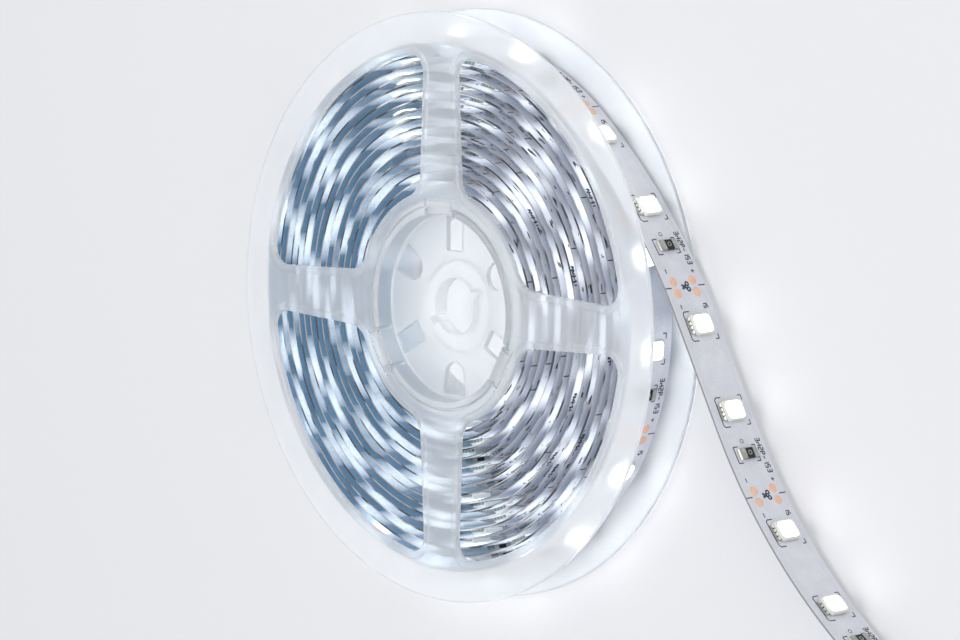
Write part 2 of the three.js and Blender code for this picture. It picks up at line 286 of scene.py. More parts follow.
def grain_group():
    group = new_group("uneven_grain", "ShaderNodeTree", (
        ("Place", "INPUT", "Vector"),
        ("Scale", "INPUT", "Float"),
        ("Colour", "INPUT", "Color"),
        ("Worn Colour", "INPUT", "Color"),
        ("Smooth", "INPUT", "Float"),
        ("Rough", "INPUT", "Float"),
        ("Colour", "OUTPUT", "Color"),
        ("Roughness", "OUTPUT", "Float"),
        ("Height", "OUTPUT", "Float"),
    ))
    inputs = add(group, "NodeGroupInput").outputs
    broad = add(group, "ShaderNodeTexNoise", {"Vector": inputs["Place"], "Scale": inputs["Scale"]})
    fine_scale = times(group, inputs["Scale"], FINER)
    fine = add(group, "ShaderNodeTexNoise", {"Vector": inputs["Place"], "Scale": fine_scale})
    patches = step(group, broad.outputs["Fac"], 0.35, 0.7)
    specks = step(group, fine.outputs["Fac"], 0.3, 0.7)
    fine_part = times(group, specks, 1 - BROAD_SHARE)
    both = math_node(group, "MULTIPLY_ADD", patches, BROAD_SHARE, fine_part)
    colour = blend(group, both, inputs["Colour"], inputs["Worn Colour"])
    spread = math_node(group, "SUBTRACT", inputs["Rough"], inputs["Smooth"])
    roughness = math_node(group, "MULTIPLY_ADD", both, spread, inputs["Smooth"])
    add(group, "NodeGroupOutput", {"Colour": colour, "Roughness": roughness, "Height": both})
    return group


GRAIN = grain_group()


def grain(tree, place, scale, colour, worn, smooth, rough):
    values = {"Place": place, "Scale": scale, "Colour": colour, "Worn Colour": worn,
              "Smooth": smooth, "Rough": rough}
    return feed(tree, add(tree, "ShaderNodeGroup", node_tree=GRAIN), values).outputs


def bump(tree, height, strength, distance):
    """A normal from a height, in metres."""
    inputs = {"Height": height, "Strength": strength, "Distance": distance}
    return add(tree, "ShaderNodeBump", inputs).outputs["Normal"]


print("grain group:", [s.name for s in GRAIN.interface.items_tree])

# %% [markdown]
# ## Frosted plastic
# The two flanges are thin milky polypropylene: light goes through, but a shape behind it blurs.
# The shader passes most of the light with a rough transmission and scatters the rest, and the
# grain makes the frost. Transmission itself stays a plain number. A lamp's shadow ray can't bend
# through a rough surface, so most of it is let straight through by the alpha, or all that
# lies behind the plastic would be too dark. The coil lights the hub from all round, and its last
# turn lights the front rim, so the plastic there has a painted glow, an emission for that light:
# in the hub more the deeper it lies, and by the front rim more towards +X, the side where the
# strip leaves the reel.

# %% Frosted plastic
SHADOW_PASS = 0.9
# Where the plastic's painted glow lies, in millimetres from the axis, and its colour and strength
HUB_LIGHT_EDGE = 14.8
HUB_LIGHT_FADE = 0.6
RIM_LIGHT_START = 36.5
RIM_LIGHT_EDGE = 39.5
RIM_LIGHT_SHARE = 0.4
PAINTED_GLOW_COLOUR = (1.0, 0.97, 0.96)
PAINTED_GLOW_STRENGTH = 0.14


def painted_plastic_glow(tree):
    """How strong the plastic's painted glow is, from 0 to 1: an emission that stands in for the
    coil's light scattered in it.
    """
    place = vector_node(tree, "SUBTRACT", own_place(tree), (AXIS.x, AXIS.y, 0))
    parts = axes(tree, place)
    flat = add(tree, "ShaderNodeCombineXYZ", {"X": parts["X"], "Y": parts["Y"]}).outputs[0]
    radius = add(tree, "ShaderNodeVectorMath", {0: flat}, operation="LENGTH").outputs["Value"]
    hub_light_full = HUB_LIGHT_EDGE - HUB_LIGHT_FADE
    inside = step(tree, radius, HUB_LIGHT_EDGE * MM, hub_light_full * MM)
    depth = step(tree, parts["Z"], FRONT_FACE * MM, REAR_FACE * MM)
    in_hub = times(tree, inside, times(tree, depth, depth))
    beyond_windows = step(tree, radius, RIM_LIGHT_START * MM, RIM_LIGHT_EDGE * MM)
    in_front = step(tree, depth, 0.2, 0.1)
    # The painted glow by the rim grows from the -X side to the +X side
    painted_glow_side = step(tree, parts["X"], -REEL_RADIUS * MM, REEL_RADIUS * MM)
    by_rim = times(tree, times(tree, beyond_windows, in_front), painted_glow_side)
    return math_node(tree, "MULTIPLY_ADD", by_rim, RIM_LIGHT_SHARE, in_hub)


def frosted_plastic():
    material, tree, shader = new_finish("frosted_plastic")
    out = grain(tree, own_place(tree), 260, (0.95, 0.965, 0.98), (0.90, 0.93, 0.955), 0.40, 0.52)
    shadow_ray = add(tree, "ShaderNodeLightPath").outputs["Is Shadow Ray"]
    inputs = {
        "Base Color": out["Colour"],
        "Roughness": out["Roughness"],
        "Normal": bump(tree, out["Height"], 0.25, 0.02 * MM),
        "Transmission Weight": 0.8,
        "IOR": 1.4,
        "Alpha": math_node(tree, "MULTIPLY_ADD", shadow_ray, -SHADOW_PASS, 1.0),
        # A painted glow: emission for the coil's light scattered in the plastic
        "Emission Color": blend(tree, painted_plastic_glow(tree), BLACK, PAINTED_GLOW_COLOUR),
        "Emission Strength": PAINTED_GLOW_STRENGTH,
    }
    feed(tree, shader, inputs)
    return material


FROSTED = frosted_plastic()
print("made", FROSTED.name)

# %% [markdown]
# ## The strip's own finishes
# The strip is a white lacquered circuit board on a blue backing film. Both read the strip's own
# map: its first number runs along the strip and its second across it, in metres, so the copper
# under the lacquer and the bare cut edge stay in place on every turn. Between the turns the lamps
# light gaps a millimetre wide. Real light in so narrow a gap needs very many samples, so a second
# map says where the lamps of each gap lie, and a node group turns that into the glow.

# %% The glow between the turns
CUT_LENGTH = 32.4
LAMP_PLACES = (0.186, 0.594)
GLOW_REACH = 4.0
CRINKLE_DEPTH = 0.5


def glow_group():
    """How much lamp light reaches a place, from its distance along the strip to each lamp."""
    group = new_group("lamp_glow", "ShaderNodeTree", (
        ("Along", "INPUT", "Float"),
        ("Crinkle", "INPUT", "Float"),
        ("Glow", "OUTPUT", "Float"),
    ))
    given = add(group, "NodeGroupInput").outputs
    cuts = math_node(group, "DIVIDE", given["Along"], CUT_LENGTH * MM)
    share = math_node(group, "FRACT", cuts)
    total = 0.0
    for place in LAMP_PLACES:
        off = math_node(group, "SUBTRACT", share, place)
        away = times(group, off, CUT_LENGTH / GLOW_REACH)
        fall = times(group, times(group, away, away), -1.0)
        total = math_node(group, "ADD", math_node(group, "EXPONENT", fall), total)
    streaks = add(group, "ShaderNodeTexNoise", {"W": cuts, "Scale": 2.3}, noise_dimensions="1D")
    uneven = step(group, streaks.outputs["Fac"], 0.3, 0.55)
    patch = step(group, times(group, total, uneven), 0.2, 0.9)
    crinkled = math_node(group, "MULTIPLY_ADD", given["Crinkle"], -CRINKLE_DEPTH, 1.0)
    add(group, "NodeGroupOutput", {"Glow": times(group, patch, crinkled)})
    return group


GLOW = glow_group()
print("glow group:", [s.name for s in GLOW.interface.items_tree])

# %% Reading the strip's maps
def strip_place(tree):
    """Metres along the strip and metres from its middle line."""
    place = add(tree, "ShaderNodeUVMap", uv_map="strip_map").outputs["UV"]
    parts = axes(tree, place)
    return place, parts["X"], math_node(tree, "ABSOLUTE", parts["Y"])


def gap_light(tree):
    """Where the lamps of a gap lie along the strip, and how closed the gap is."""
    parts = axes(tree, add(tree, "ShaderNodeUVMap", uv_map="lamp_map").outputs["UV"])
    return {"Along": parts["X"], "Closed": parts["Y"]}


def lit_gap(tree, gap, crinkle, glow_colours, fall=1.0):
    """The colour of the lamps' light in a gap of the coil, black where the gap is open."""
    glow = add(tree, "ShaderNodeGroup", node_tree=GLOW)
    feed(tree, glow, {"Along": gap["Along"], "Crinkle": crinkle})
    share = math_node(tree, "POWER", glow.outputs["Glow"], fall)
    return blend(tree, gap["Closed"], BLACK, blend(tree, share, *glow_colours))


print("readers of strip_map and lamp_map ready")

# %% Lacquered board
BOARD_EDGE = STRIP_WIDTH / 2 - 0.02
RAIL_INNER_EDGE = 2.75
RAIL_OUTER_EDGE = 3.75
RAIL_SLOPE = 0.1
# Where the painted shade line by the board's edges starts and where it is full, in millimetres
# across
EDGE_SHADE_START = 3.8
EDGE_SHADE_FULL = 3.88

BOARD_WHITE = (0.76, 0.77, 0.82)
RAIL_WHITE = (0.72, 0.73, 0.79)
# Painted shade: a darker, warmer white for the board where another turn lies over it
SHADED_WOUND_WHITE = (0.71, 0.68, 0.67)
WORN_WHITE = (0.66, 0.67, 0.73)
CUT_GREY = (0.27, 0.27, 0.27)
# The dark of the streaks on the rails and of the painted shade line by the edges
STREAK_AND_SHADE_BROWN = (0.06, 0.05, 0.05)
# The lamps' light in a gap, far from a lamp and beside one
BOARD_GLOW = ((0.09, 0.083, 0.10), (0.62, 0.64, 0.69))


def board_finish():
    material, tree, shader = new_finish("strip_board")
    place, along, across = strip_place(tree)
    gap = gap_light(tree)
    wound = step(tree, gap["Closed"], 0.5, 0.9)
    # Copper rails under the lacquer
    past_inner = step(tree, across, RAIL_INNER_EDGE * MM, (RAIL_INNER_EDGE + RAIL_SLOPE) * MM)
    short_of_outer = step(tree, across, RAIL_OUTER_EDGE * MM, (RAIL_OUTER_EDGE - RAIL_SLOPE) * MM)
    rail = times(tree, past_inner, short_of_outer)
    # The wound turns take the painted shade's darker white
    white = blend(tree, wound, blend(tree, rail, BOARD_WHITE, RAIL_WHITE), SHADED_WOUND_WHITE)
    out = grain(tree, own_place(tree), 400, white, WORN_WHITE, 0.28, 0.42)
    # Dark streaks on the rails by the edges of the wound turns, drawn out along the strip
    drawn_out = vector_node(tree, "MULTIPLY", place, (0.35, 1, 0))
    noise = add(tree, "ShaderNodeTexNoise", {"Vector": drawn_out, "Scale": 900})
    specks = times(tree, step(tree, noise.outputs["Fac"], 0.62, 0.65), rail)
    # Painted shade: in places a dark line on the board just inside its edges, where the next turn
    # shades it
    edge_shade_noise = add(tree, "ShaderNodeTexNoise", {"W": along, "Scale": 130}, noise_dimensions="1D")
    painted_edge_shade = times(tree, step(tree, edge_shade_noise.outputs["Fac"], 0.48, 0.62),
                    step(tree, across, EDGE_SHADE_START * MM, EDGE_SHADE_FULL * MM))
    dark = times(tree, math_node(tree, "MAXIMUM", specks, painted_edge_shade), wound)
    edge = step(tree, across, (BOARD_EDGE - 0.01) * MM, BOARD_EDGE * MM)
    cut = blend(tree, edge, out["Colour"], CUT_GREY)
    ripple = times(tree, out["Height"], 0.2)
    height = math_node(tree, "MULTIPLY_ADD", rail, 0.6, ripple)
    light = lit_gap(tree, gap, out["Height"], BOARD_GLOW)
    inputs = {
        "Base Color": blend(tree, dark, cut, STREAK_AND_SHADE_BROWN),
        "Roughness": out["Roughness"],
        "Normal": bump(tree, height, 0.5, 0.02 * MM),
        "Emission Color": blend(tree, dark, light, BLACK),
        "Emission Strength": 1.0,
    }
    feed(tree, shader, inputs)
    return material


BOARD = board_finish()
print("made", BOARD.name)

# %% Backing film
BACKING_EDGE = STRIP_WIDTH / 2 - 0.08
BACKING_BLUE = (0.14, 0.28, 0.44)
BACKING_DEEP_BLUE = (0.04, 0.13, 0.25)
BACKING_CUT = (0.34, 0.35, 0.37)
# Painted shade: the backing's cut edge goes dark where the gap in the coil is closed
BACKING_CUT_SHADED = (0.07, 0.06, 0.06)
BACKING_GLOW = ((0.05, 0.095, 0.135), (0.80, 0.87, 0.93))


def backing_finish():
    material, tree, shader = new_finish("strip_backing")
    _, _, across = strip_place(tree)
    gap = gap_light(tree)
    out = grain(tree, own_place(tree), 300, BACKING_BLUE, BACKING_DEEP_BLUE, 0.12, 0.3)
    edge = step(tree, across, BACKING_EDGE * MM, (BACKING_EDGE + 0.02) * MM)
    # Painted shade: the cut edge darkens as the gap closes
    cut = blend(tree, gap["Closed"], BACKING_CUT, BACKING_CUT_SHADED)
    inputs = {
        "Base Color": blend(tree, edge, out["Colour"], cut),
        "Roughness": out["Roughness"],
        "Normal": bump(tree, out["Height"], 0.3, 0.03 * MM),
        "Coat Weight": 0.4,
        "Coat Roughness": 0.1,
        "Emission Color": lit_gap(tree, gap, out["Height"], BACKING_GLOW, 0.6),
        "Emission Strength": 1.0,
    }
    feed(tree, shader, inputs)
    return material


BACKING = backing_finish()
print("made", BACKING.name)

# %% [markdown]
# ## Small finishes
# Copper, ink, glaze, tin, the lamps' moulded bodies and their phosphor are each one run of the
# grain, with a colour, a worn colour and a range of roughness. The phosphor gives off light.

# %% Small finishes
def small_finish(name, scale, colour, worn, smooth, rough, **fixed):
    """A finish of grain alone. The fixed inputs are named with underscores for spaces."""
    material, tree, shader = new_finish(name)
    out = grain(tree, own_place(tree), scale, colour, worn, smooth, rough)
    inputs = {
        "Base Color": out["Colour"],
        "Roughness": out["Roughness"],
        "Normal": bump(tree, out["Height"], 0.3, 0.01 * MM),
    }
    feed(tree, shader, inputs | {key.replace("_", " "): value for key, value in fixed.items()})
    return material


COPPER = small_finish(
    "copper_pad", 900, (0.90, 0.60, 0.44), (0.84, 0.50, 0.34), 0.3, 0.5, Metallic=0.3)
INK = small_finish(
    "print_ink", 1500, (0.03, 0.035, 0.055), (0.06, 0.065, 0.09), 0.5, 0.7)
CHIP_BLACK = small_finish(
    "resistor_black", 1200, (0.012, 0.012, 0.014), (0.03, 0.03, 0.03), 0.35, 0.55,
    Specular_IOR_Level=0.25)
TINNED = small_finish(
    "bright_metal", 1100, (0.50, 0.51, 0.47), (0.34, 0.35, 0.32), 0.25, 0.5, Metallic=1.0)
LAMP_BODY = small_finish(
    "lamp_white", 700, (0.80, 0.81, 0.76), (0.70, 0.71, 0.66), 0.35, 0.5)
LAMP_LIT = small_finish(
    "lamp_lit", 700, (0.95, 0.93, 0.75), (0.95, 0.90, 0.65), 0.4, 0.5,
    Emission_Color=(1.0, 1.0, 0.96), Emission_Strength=5.2)
print("made", [m.name for m in (COPPER, INK, CHIP_BLACK, TINNED, LAMP_BODY, LAMP_LIT)])

# %% [markdown]
# ## Walls and covers
# Moulded and punched shapes are closed loops joined by walls, with flat covers over the ends. A
# loop is an outline at one height, and a rounded edge is three or four loops close together.
# Beside each rounded edge lies one more loop in the flat face, so that smooth shading ends there
# and the flat stays flat.

# %% The loop kit
SHARP_ANGLE = 32
# Points nearer than this, in millimetres, become one
JOIN_DISTANCE = 1e-4


def skinned(name, points, faces, sharp, join=0):
    """A closed mesh with its faces outwards, and smooth up to a sharp angle in degrees."""
    mesh = bpy.data.meshes.new(name)
    mesh.from_pydata(points, [], faces)
    tidy = bmesh.new()
    tidy.from_mesh(mesh)
    if join:
        bmesh.ops.remove_doubles(tidy, verts=tidy.verts, dist=join)
    bmesh.ops.recalc_face_normals(tidy, faces=tidy.faces)
    tidy.to_mesh(mesh)
    tidy.free()
    mesh.shade_smooth()
    mesh.set_sharp_from_angle(angle=math.radians(sharp))
    return mesh


class Shell:
    """Loops of points, joined into one closed skin."""

    def __init__(self):
        self.points = []
        self.faces = []

    def loop(self, outline, height):
        start = len(self.points)
        self.points += [(x, y, height) for x, y in outline]
        return range(start, len(self.points))

    def walls(self, loops):
        for one, other in zip(loops, loops[1:]):
            for i in range(len(one)):
                k = (i + 1) % len(one)
                self.faces.append((one[i], one[k], other[k], other[i]))

    def cover(self, *loops):
        """A flat face: the first loop is its rim, and the others are holes in it."""
        loops = [[i for n, i in enumerate(loop) if self.points[i] != self.points[loop[n - 1]]]
                 for loop in loops]
        outlines = [[Vector(self.points[i]) for i in loop] for loop in loops]
        index = [i for loop in loops for i in loop]
        for corners in tessellate_polygon(outlines):
            self.faces.append(tuple(index[k] for k in corners))

    def stack(self, outlines, covered=False):
        """Loops from pairs of an outline and a height, with walls from each to the next.

        A covered stack has a flat cover on each end too.
        """
        loops = [self.loop(outline, height) for outline, height in outlines]
        self.walls(loops)
        if covered:
            self.cover(loops[0])
            self.cover(loops[-1])
        return loops

    def mesh(self, name, sharp=SHARP_ANGLE):
        return skinned(name, self.points, self.faces, sharp, JOIN_DISTANCE)


print("loop kit ready")

# %% Outlines and sections
def polar(radius, angle):
    return Vector((radius * math.cos(angle), radius * math.sin(angle)))


def arc(centre, radius, start, end, steps):
    return [centre + polar(radius, start + (end - start) * i / steps) for i in range(steps + 1)]


def circle(radius, steps):
    return [polar(radius, 2 * math.pi * i / steps) for i in range(steps)]


def turned(outline, degrees):
    turn = Matrix.Rotation(math.radians(degrees), 2)
    return [turn @ point for point in outline]


def moved(outline, x, y):
    return [point + Vector((x, y)) for point in outline]


def near(radius, height, *offsets):
    """Corners of a turned section, each given by how far out and up it lies from one place."""
    return [(radius + out, height + up) for out, up in offsets]


def ring(shell, outer, inner, bottom, top):
    """A ring between two outlines, with four flat sides."""
    shell.stack(((outer, bottom), (outer, top), (inner, top), (inner, bottom), (outer, bottom)))


def piece(name, mesh, material):
    """Puts a mesh, drawn in millimetres round the reel's axis, in its place."""
    mesh.transform(Matrix.Translation((AXIS.x, AXIS.y, 0)) @ Matrix.Scale(MM, 4))
    mesh.materials.append(material)
    return put(name, mesh)


print("a circle of radius 1 starts at", tuple(circle(1, 4)[0]))

# %% [markdown]
# ## Flanges
# Each flange is a plate 0.8 mm thick with four fan-shaped windows, and a rounded bead stands
# round every window. The window's outline is found by geometry: two arcs about the axis, two
# spoke edges, and four fillets that touch them. Growing that outline moves every edge by the
# same distance, so the bead's whole section is the same outline at several sizes and heights.

# %% Window outline
WINDOW_OUTER_RADIUS = 37.9
WINDOW_INNER_RADIUS = 17.6
SPOKE_HALF_WIDTH_AT_HUB = 4.3
SPOKE_HALF_WIDTH_AT_RIM = 3.4
OUTER_FILLET = 2.6
INNER_FILLET = 4.0
ORIGIN = Vector((0, 0))


def window_outline(grow):
    run = WINDOW_OUTER_RADIUS - WINDOW_INNER_RADIUS
    taper = math.atan2(SPOKE_HALF_WIDTH_AT_HUB - SPOKE_HALF_WIDTH_AT_RIM, run)
    along = Vector((math.cos(taper), -math.sin(taper)))
    inward = Vector((math.sin(taper), math.cos(taper)))
    edge = Vector((WINDOW_INNER_RADIUS, SPOKE_HALF_WIDTH_AT_HUB)).dot(inward) - grow
    outer_radius, inner_radius = WINDOW_OUTER_RADIUS + grow, WINDOW_INNER_RADIUS - grow
    outer_fillet, inner_fillet = OUTER_FILLET + grow, INNER_FILLET + grow

    def centre(radius, fillet):
        off = edge + fillet
        return inward * off + along * math.sqrt(radius * radius - off * off)

    outer = centre(outer_radius - outer_fillet, outer_fillet)
    inner = centre(inner_radius + inner_fillet, inner_fillet)
    outer_angle, inner_angle = math.atan2(outer.y, outer.x), math.atan2(inner.y, inner.x)
    side = -math.pi / 2 - taper
    half = arc(ORIGIN, inner_radius, math.pi / 4, inner_angle, 8)
    half += arc(inner, inner_fillet, inner_angle - math.pi, side, 10)[1:]
    half += arc(outer, outer_fillet, side, outer_angle, 10)
    half += arc(ORIGIN, outer_radius, outer_angle, math.pi / 4, 16)[1:]
    return half + [Vector((p.y, p.x)) for p in reversed(half[1:-1])]


print("window outline has", len(window_outline(0)), "points")

# %% A plate with beaded windows
RIM_STEPS = 256
# How far from the window's edge, and how high above the plate's outer face
BEAD_SECTION = (
    (1.45, 0.0), (1.3, 0.0), (1.17, 0.03), (1.08, 0.10), (1.0, 0.19), (0.88, 0.245),
    (0.78, 0.25), (0.42, 0.25), (0.3, 0.24), (0.17, 0.19), (0.06, 0.08), (0.0, -0.08),
    (0.0, -0.62), (0.05, -0.74), (0.16, -0.8), (0.32, -0.8),
)
# How far in from the rim, and how high above the plate's outer face
RIM_SECTION = (
    (0.45, 0.0), (0.3, 0.0), (0.17, -0.03), (0.07, -0.1), (0.0, -0.25),
    (0.0, -0.55), (0.07, -0.7), (0.17, -0.77), (0.3, -0.8), (0.45, -0.8),
)


def beaded_plate(shell, face, way):
    """Adds rim and windows. Returns the loops that bound the outer and the inner flat."""
    rim = shell.stack((circle(REEL_RADIUS - inset, RIM_STEPS), face + way * rise)
                      for inset, rise in RIM_SECTION)
    outer, inner = [rim[0]], [rim[-1]]
    for turn in range(0, 360, 90):
        bead = shell.stack((turned(window_outline(grow), turn), face + way * rise)
                           for grow, rise in BEAD_SECTION)
        outer.append(bead[0])
        inner.append(bead[-1])
    return outer, inner


print("bead section has", len(BEAD_SECTION), "corners")

# %% [markdown]
# ## Front flange
# The front flange is a plate with a round opening. Three shallow pockets in the opening's edge
# take the hooks of the hub's fingers. The pocket is a step in the wall: the upper loop follows
# the pocket, and the lower loop follows the round opening.

# %% Front flange
OPENING_RADIUS = 15.3
POCKET_REACH = 16.2
POCKET_HALF_WIDTH = 3.3
POCKET_DEPTH = 0.4
FINGER_ANGLES = (90, 210, 330)


def opening_outline(radius, reach, half_width):
    """A round opening with a flat-ended pocket at each finger."""
    outline = []
    corner = math.asin(half_width / radius)
    for degrees in FINGER_ANGLES:
        middle = math.radians(degrees)
        for i in range(9):
            across = half_width * (i / 4 - 1)
            out = max(reach, math.sqrt(radius * radius - across * across))
            outline.append(Matrix.Rotation(middle, 2) @ Vector((out, across)))
        start, end = middle + corner, middle + 2 * math.pi / 3 - corner
        outline += arc(ORIGIN, radius, start, end, 40)
    return outline


def front_flange():
    shell = Shell()
    outer, inner = beaded_plate(shell, FRONT_FACE, 1)
    pocket_floor = FRONT_FACE - POCKET_DEPTH
    # How much each loop is grown, and its height
    with_pockets = ((0.2, FRONT_FACE), (0.08, FRONT_FACE),
                    (0.0, FRONT_FACE - 0.08), (0.0, pocket_floor))
    plain_round = ((0.0, pocket_floor), (0.0, FRONT_INNER_FACE + 0.1),
                   (0.1, FRONT_INNER_FACE), (0.2, FRONT_INNER_FACE))
    outlines = []
    for grow, height in with_pockets:
        sizes = (size + grow for size in (OPENING_RADIUS, POCKET_REACH, POCKET_HALF_WIDTH))
        outlines.append((opening_outline(*sizes), height))
    for grow, height in plain_round:
        outlines.append((opening_outline(OPENING_RADIUS + grow, 0, POCKET_HALF_WIDTH), height))
    opening = shell.stack(outlines)
    shell.cover(*outer, opening[0])
    shell.cover(*inner, opening[-1])
    return piece("front_flange_moulding", shell.mesh("front_flange_moulding"), FROSTED)


front = front_flange()
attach(front, "root")
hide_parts("front_flange")
print(front.name, len(front.data.polygons), "faces")

# %% [markdown]
# ## Rear flange and hub
# The rear flange is the same plate, turned over, and it carries the hub. A turned section makes
# the hub: its outer wall takes the strip, a shoulder carries the front flange, and a thin sleeve
# stands through the opening. Inside the sleeve a web with six openings holds the arbor boss.
# Six saw cuts free the three snap fingers, and a hook sits on each finger's tip. Booleans suit
# the cuts and hooks, because they cross several walls of the turned section.

# %% Web openings and arbor hole
HUB_RADIUS = 16.2
SLEEVE_OUTER_RADIUS = 15.0
SLEEVE_INNER_RADIUS = 14.0
SHOULDER_HEIGHT = 9.25
WEB_TOP = 7.45
WEB_BOTTOM = 6.55
BOSS_RADIUS = 6.9
BOSS_BOTTOM = 4.95
ARBOR_RADIUS = 4.2
KEY_REACH = 5.5
KEY_HALF_WIDTH = 0.55
KEY_ANGLES = (28, 208)
HUB_STEPS = 144
WEB_EDGE = 0.12
BORE_EDGE = 0.2

# Openings below the fingers, and openings with a round end between them
WEB_OPENING_ANGLES = (90, 30, 330, 270, 210, 150)
SQUARE_FROM = 8.3
SQUARE_TO = 13.5
SQUARE_HALF_WIDTH = 1.65
SQUARE_CORNER = 0.25
ROUND_END_CENTRE = 10.4
ROUND_END_RADIUS = 2.0
ROUND_ENDED_TO = 13.2
ROUND_ENDED_HALF_WIDTH = 2.4
ROUND_ENDED_CORNER = 0.3


def rounded_box(low, high, half, corner, steps=4):
    """A rectangle from low to high along X, with rounded corners."""
    quarter = math.pi / 2
    centres = ((high - corner, half - corner), (low + corner, half - corner),
               (low + corner, corner - half), (high - corner, corner - half))
    outline = []
    for i, centre in enumerate(centres):
        outline += arc(Vector(centre), corner, i * quarter, (i + 1) * quarter, steps)
    return outline


def square_opening(grow):
    return rounded_box(SQUARE_FROM - grow, SQUARE_TO + grow, SQUARE_HALF_WIDTH + grow,
                       SQUARE_CORNER + grow)


def round_ended_opening(grow):
    """Round at the hub's side and wider at the sleeve's side."""
    quarter = math.pi / 2
    centre = Vector((ROUND_END_CENTRE, 0))
    end = Vector((ROUND_ENDED_TO - ROUND_ENDED_CORNER, 0))
    side = Vector((0, ROUND_ENDED_HALF_WIDTH - ROUND_ENDED_CORNER))
    corner = ROUND_ENDED_CORNER + grow
    outline = arc(centre, ROUND_END_RADIUS + grow, quarter, 3 * quarter, 16)
    outline += arc(end - side, corner, -quarter, 0, 4)
    outline += arc(end + side, corner, 0, quarter, 4)
    return outline


def arbor_outline(grow):
    """The round arbor hole with a key slot on each side."""
    radius, half = ARBOR_RADIUS + grow, KEY_HALF_WIDTH + grow
    corner = math.asin(half / radius)
    outline = []
    for degrees in KEY_ANGLES:
        middle = math.radians(degrees)
        reach = KEY_REACH + grow
        outline += turned([Vector((reach, -half)), Vector((reach, half))], degrees)
        outline += arc(ORIGIN, radius, middle + corner, middle + math.pi - corner, 30)
    return outline


def edge_loops(shell, outline, face, way, edge):
    """Loops that round a hole's edge, from the flat face into the hole."""
    section = ((edge * 2, 0), (edge, 0), (edge * 0.3, edge * 0.3), (0, edge))
    return [shell.loop(outline(grow), face - way * drop) for grow, drop in section]


# %% Rear flange with its hub
def hub_walls(shell, section):
    loops = shell.stack((circle(radius, HUB_STEPS), height) for radius, height in section)
    return loops[0], loops[-1]


def web(shell, upper_rim, lower_rim):
    """Covers both faces of the web round its openings, the arbor hole and the boss."""
    upper, lower = [upper_rim], [lower_rim]
    for i, degrees in enumerate(WEB_OPENING_ANGLES):
        outline = (square_opening, round_ended_opening)[i % 2]

        def placed(grow, outline=outline, degrees=degrees):
            return turned(outline(grow), degrees)

        top = edge_loops(shell, placed, WEB_TOP, 1, WEB_EDGE)
        bottom = edge_loops(shell, placed, WEB_BOTTOM, -1, WEB_EDGE)
        shell.walls(top + bottom[::-1])
        upper.append(top[0])
        lower.append(bottom[0])
    bore = edge_loops(shell, arbor_outline, WEB_TOP, 1, BORE_EDGE)
    bore += edge_loops(shell, arbor_outline, BOSS_BOTTOM, -1, BORE_EDGE)[::-1]
    shell.walls(bore)
    boss = near(BOSS_RADIUS, WEB_BOTTOM, (0.5, 0), (0.3, 0), (0.08, -0.08), (0, -0.3))
    boss += near(BOSS_RADIUS, BOSS_BOTTOM, (0, 0.2), (-0.06, 0.06), (-0.2, 0), (-0.4, 0))
    foot, tip = hub_walls(shell, boss)
    shell.cover(*upper, bore[0])
    shell.cover(*lower, foot)
    shell.cover(tip, bore[-1])


def rear_shell():
    shell = Shell()
    outer, inner = beaded_plate(shell, REAR_FACE, -1)
    outer_radius, inner_radius = SLEEVE_OUTER_RADIUS, SLEEVE_INNER_RADIUS
    # Up the hub's outer wall, over the shoulder and the sleeve's end, and down to the web
    sleeve = near(HUB_RADIUS, REAR_INNER_FACE, (0.5, 0), (0.25, 0), (0.07, 0.07), (0, 0.25))
    sleeve += near(HUB_RADIUS, SHOULDER_HEIGHT, (0, -0.15), (-0.15, 0))
    sleeve += near(outer_radius, SHOULDER_HEIGHT, (0.1, 0), (0, 0.1))
    sleeve += near(outer_radius, FRONT_FACE, (0, -0.2), (-0.06, -0.06), (-0.2, 0))
    sleeve += near(inner_radius, FRONT_FACE, (0.2, 0), (0.06, -0.06), (0, -0.2))
    sleeve += near(inner_radius, WEB_TOP, (0, 0.3), (-0.09, 0.09), (-0.3, 0), (-0.4, 0))
    # From the web's lower face down to the rear flange's opening
    bore = near(inner_radius, WEB_BOTTOM, (-0.4, 0), (-0.3, 0), (-0.09, -0.09), (0, -0.3))
    bore += near(inner_radius, REAR_FACE, (0, 0.2), (0.06, 0.06), (0.2, 0), (0.4, 0))
    foot, upper_rim = hub_walls(shell, sleeve)
    lower_rim, opening = hub_walls(shell, bore)
    web(shell, upper_rim, lower_rim)
    shell.cover(*outer, opening)
    shell.cover(*inner, foot)
    return shell.mesh("rear_flange_moulding")


print("hub section ready")

# %% Saw cuts and hooks of the snap fingers
FINGER_WIDTH = 5.4
FINGER_SLOT = 0.6
SLOT_FROM = 12.9
SLOT_TO = 17.2
FINGER_ROOT = 7.85
HOOK_REACH = 15.95
HOOK_TOP = 10.6
HOOK_BOTTOM = 10.2


def block(shell, outline, bottom, top):
    shell.stack(((outline, bottom), (outline, top)), covered=True)


def finger_cuts():
    shell = Shell()
    for degrees in FINGER_ANGLES:
        for side in (-1, 1):
            middle = side * (FINGER_WIDTH + FINGER_SLOT) / 2
            slot = rounded_box(SLOT_FROM, SLOT_TO, FINGER_SLOT / 2, 0.1, 1)
            block(shell, turned(moved(slot, 0, middle), degrees), FINGER_ROOT, HOOK_TOP + 1)
    return shell.mesh("finger_cuts")


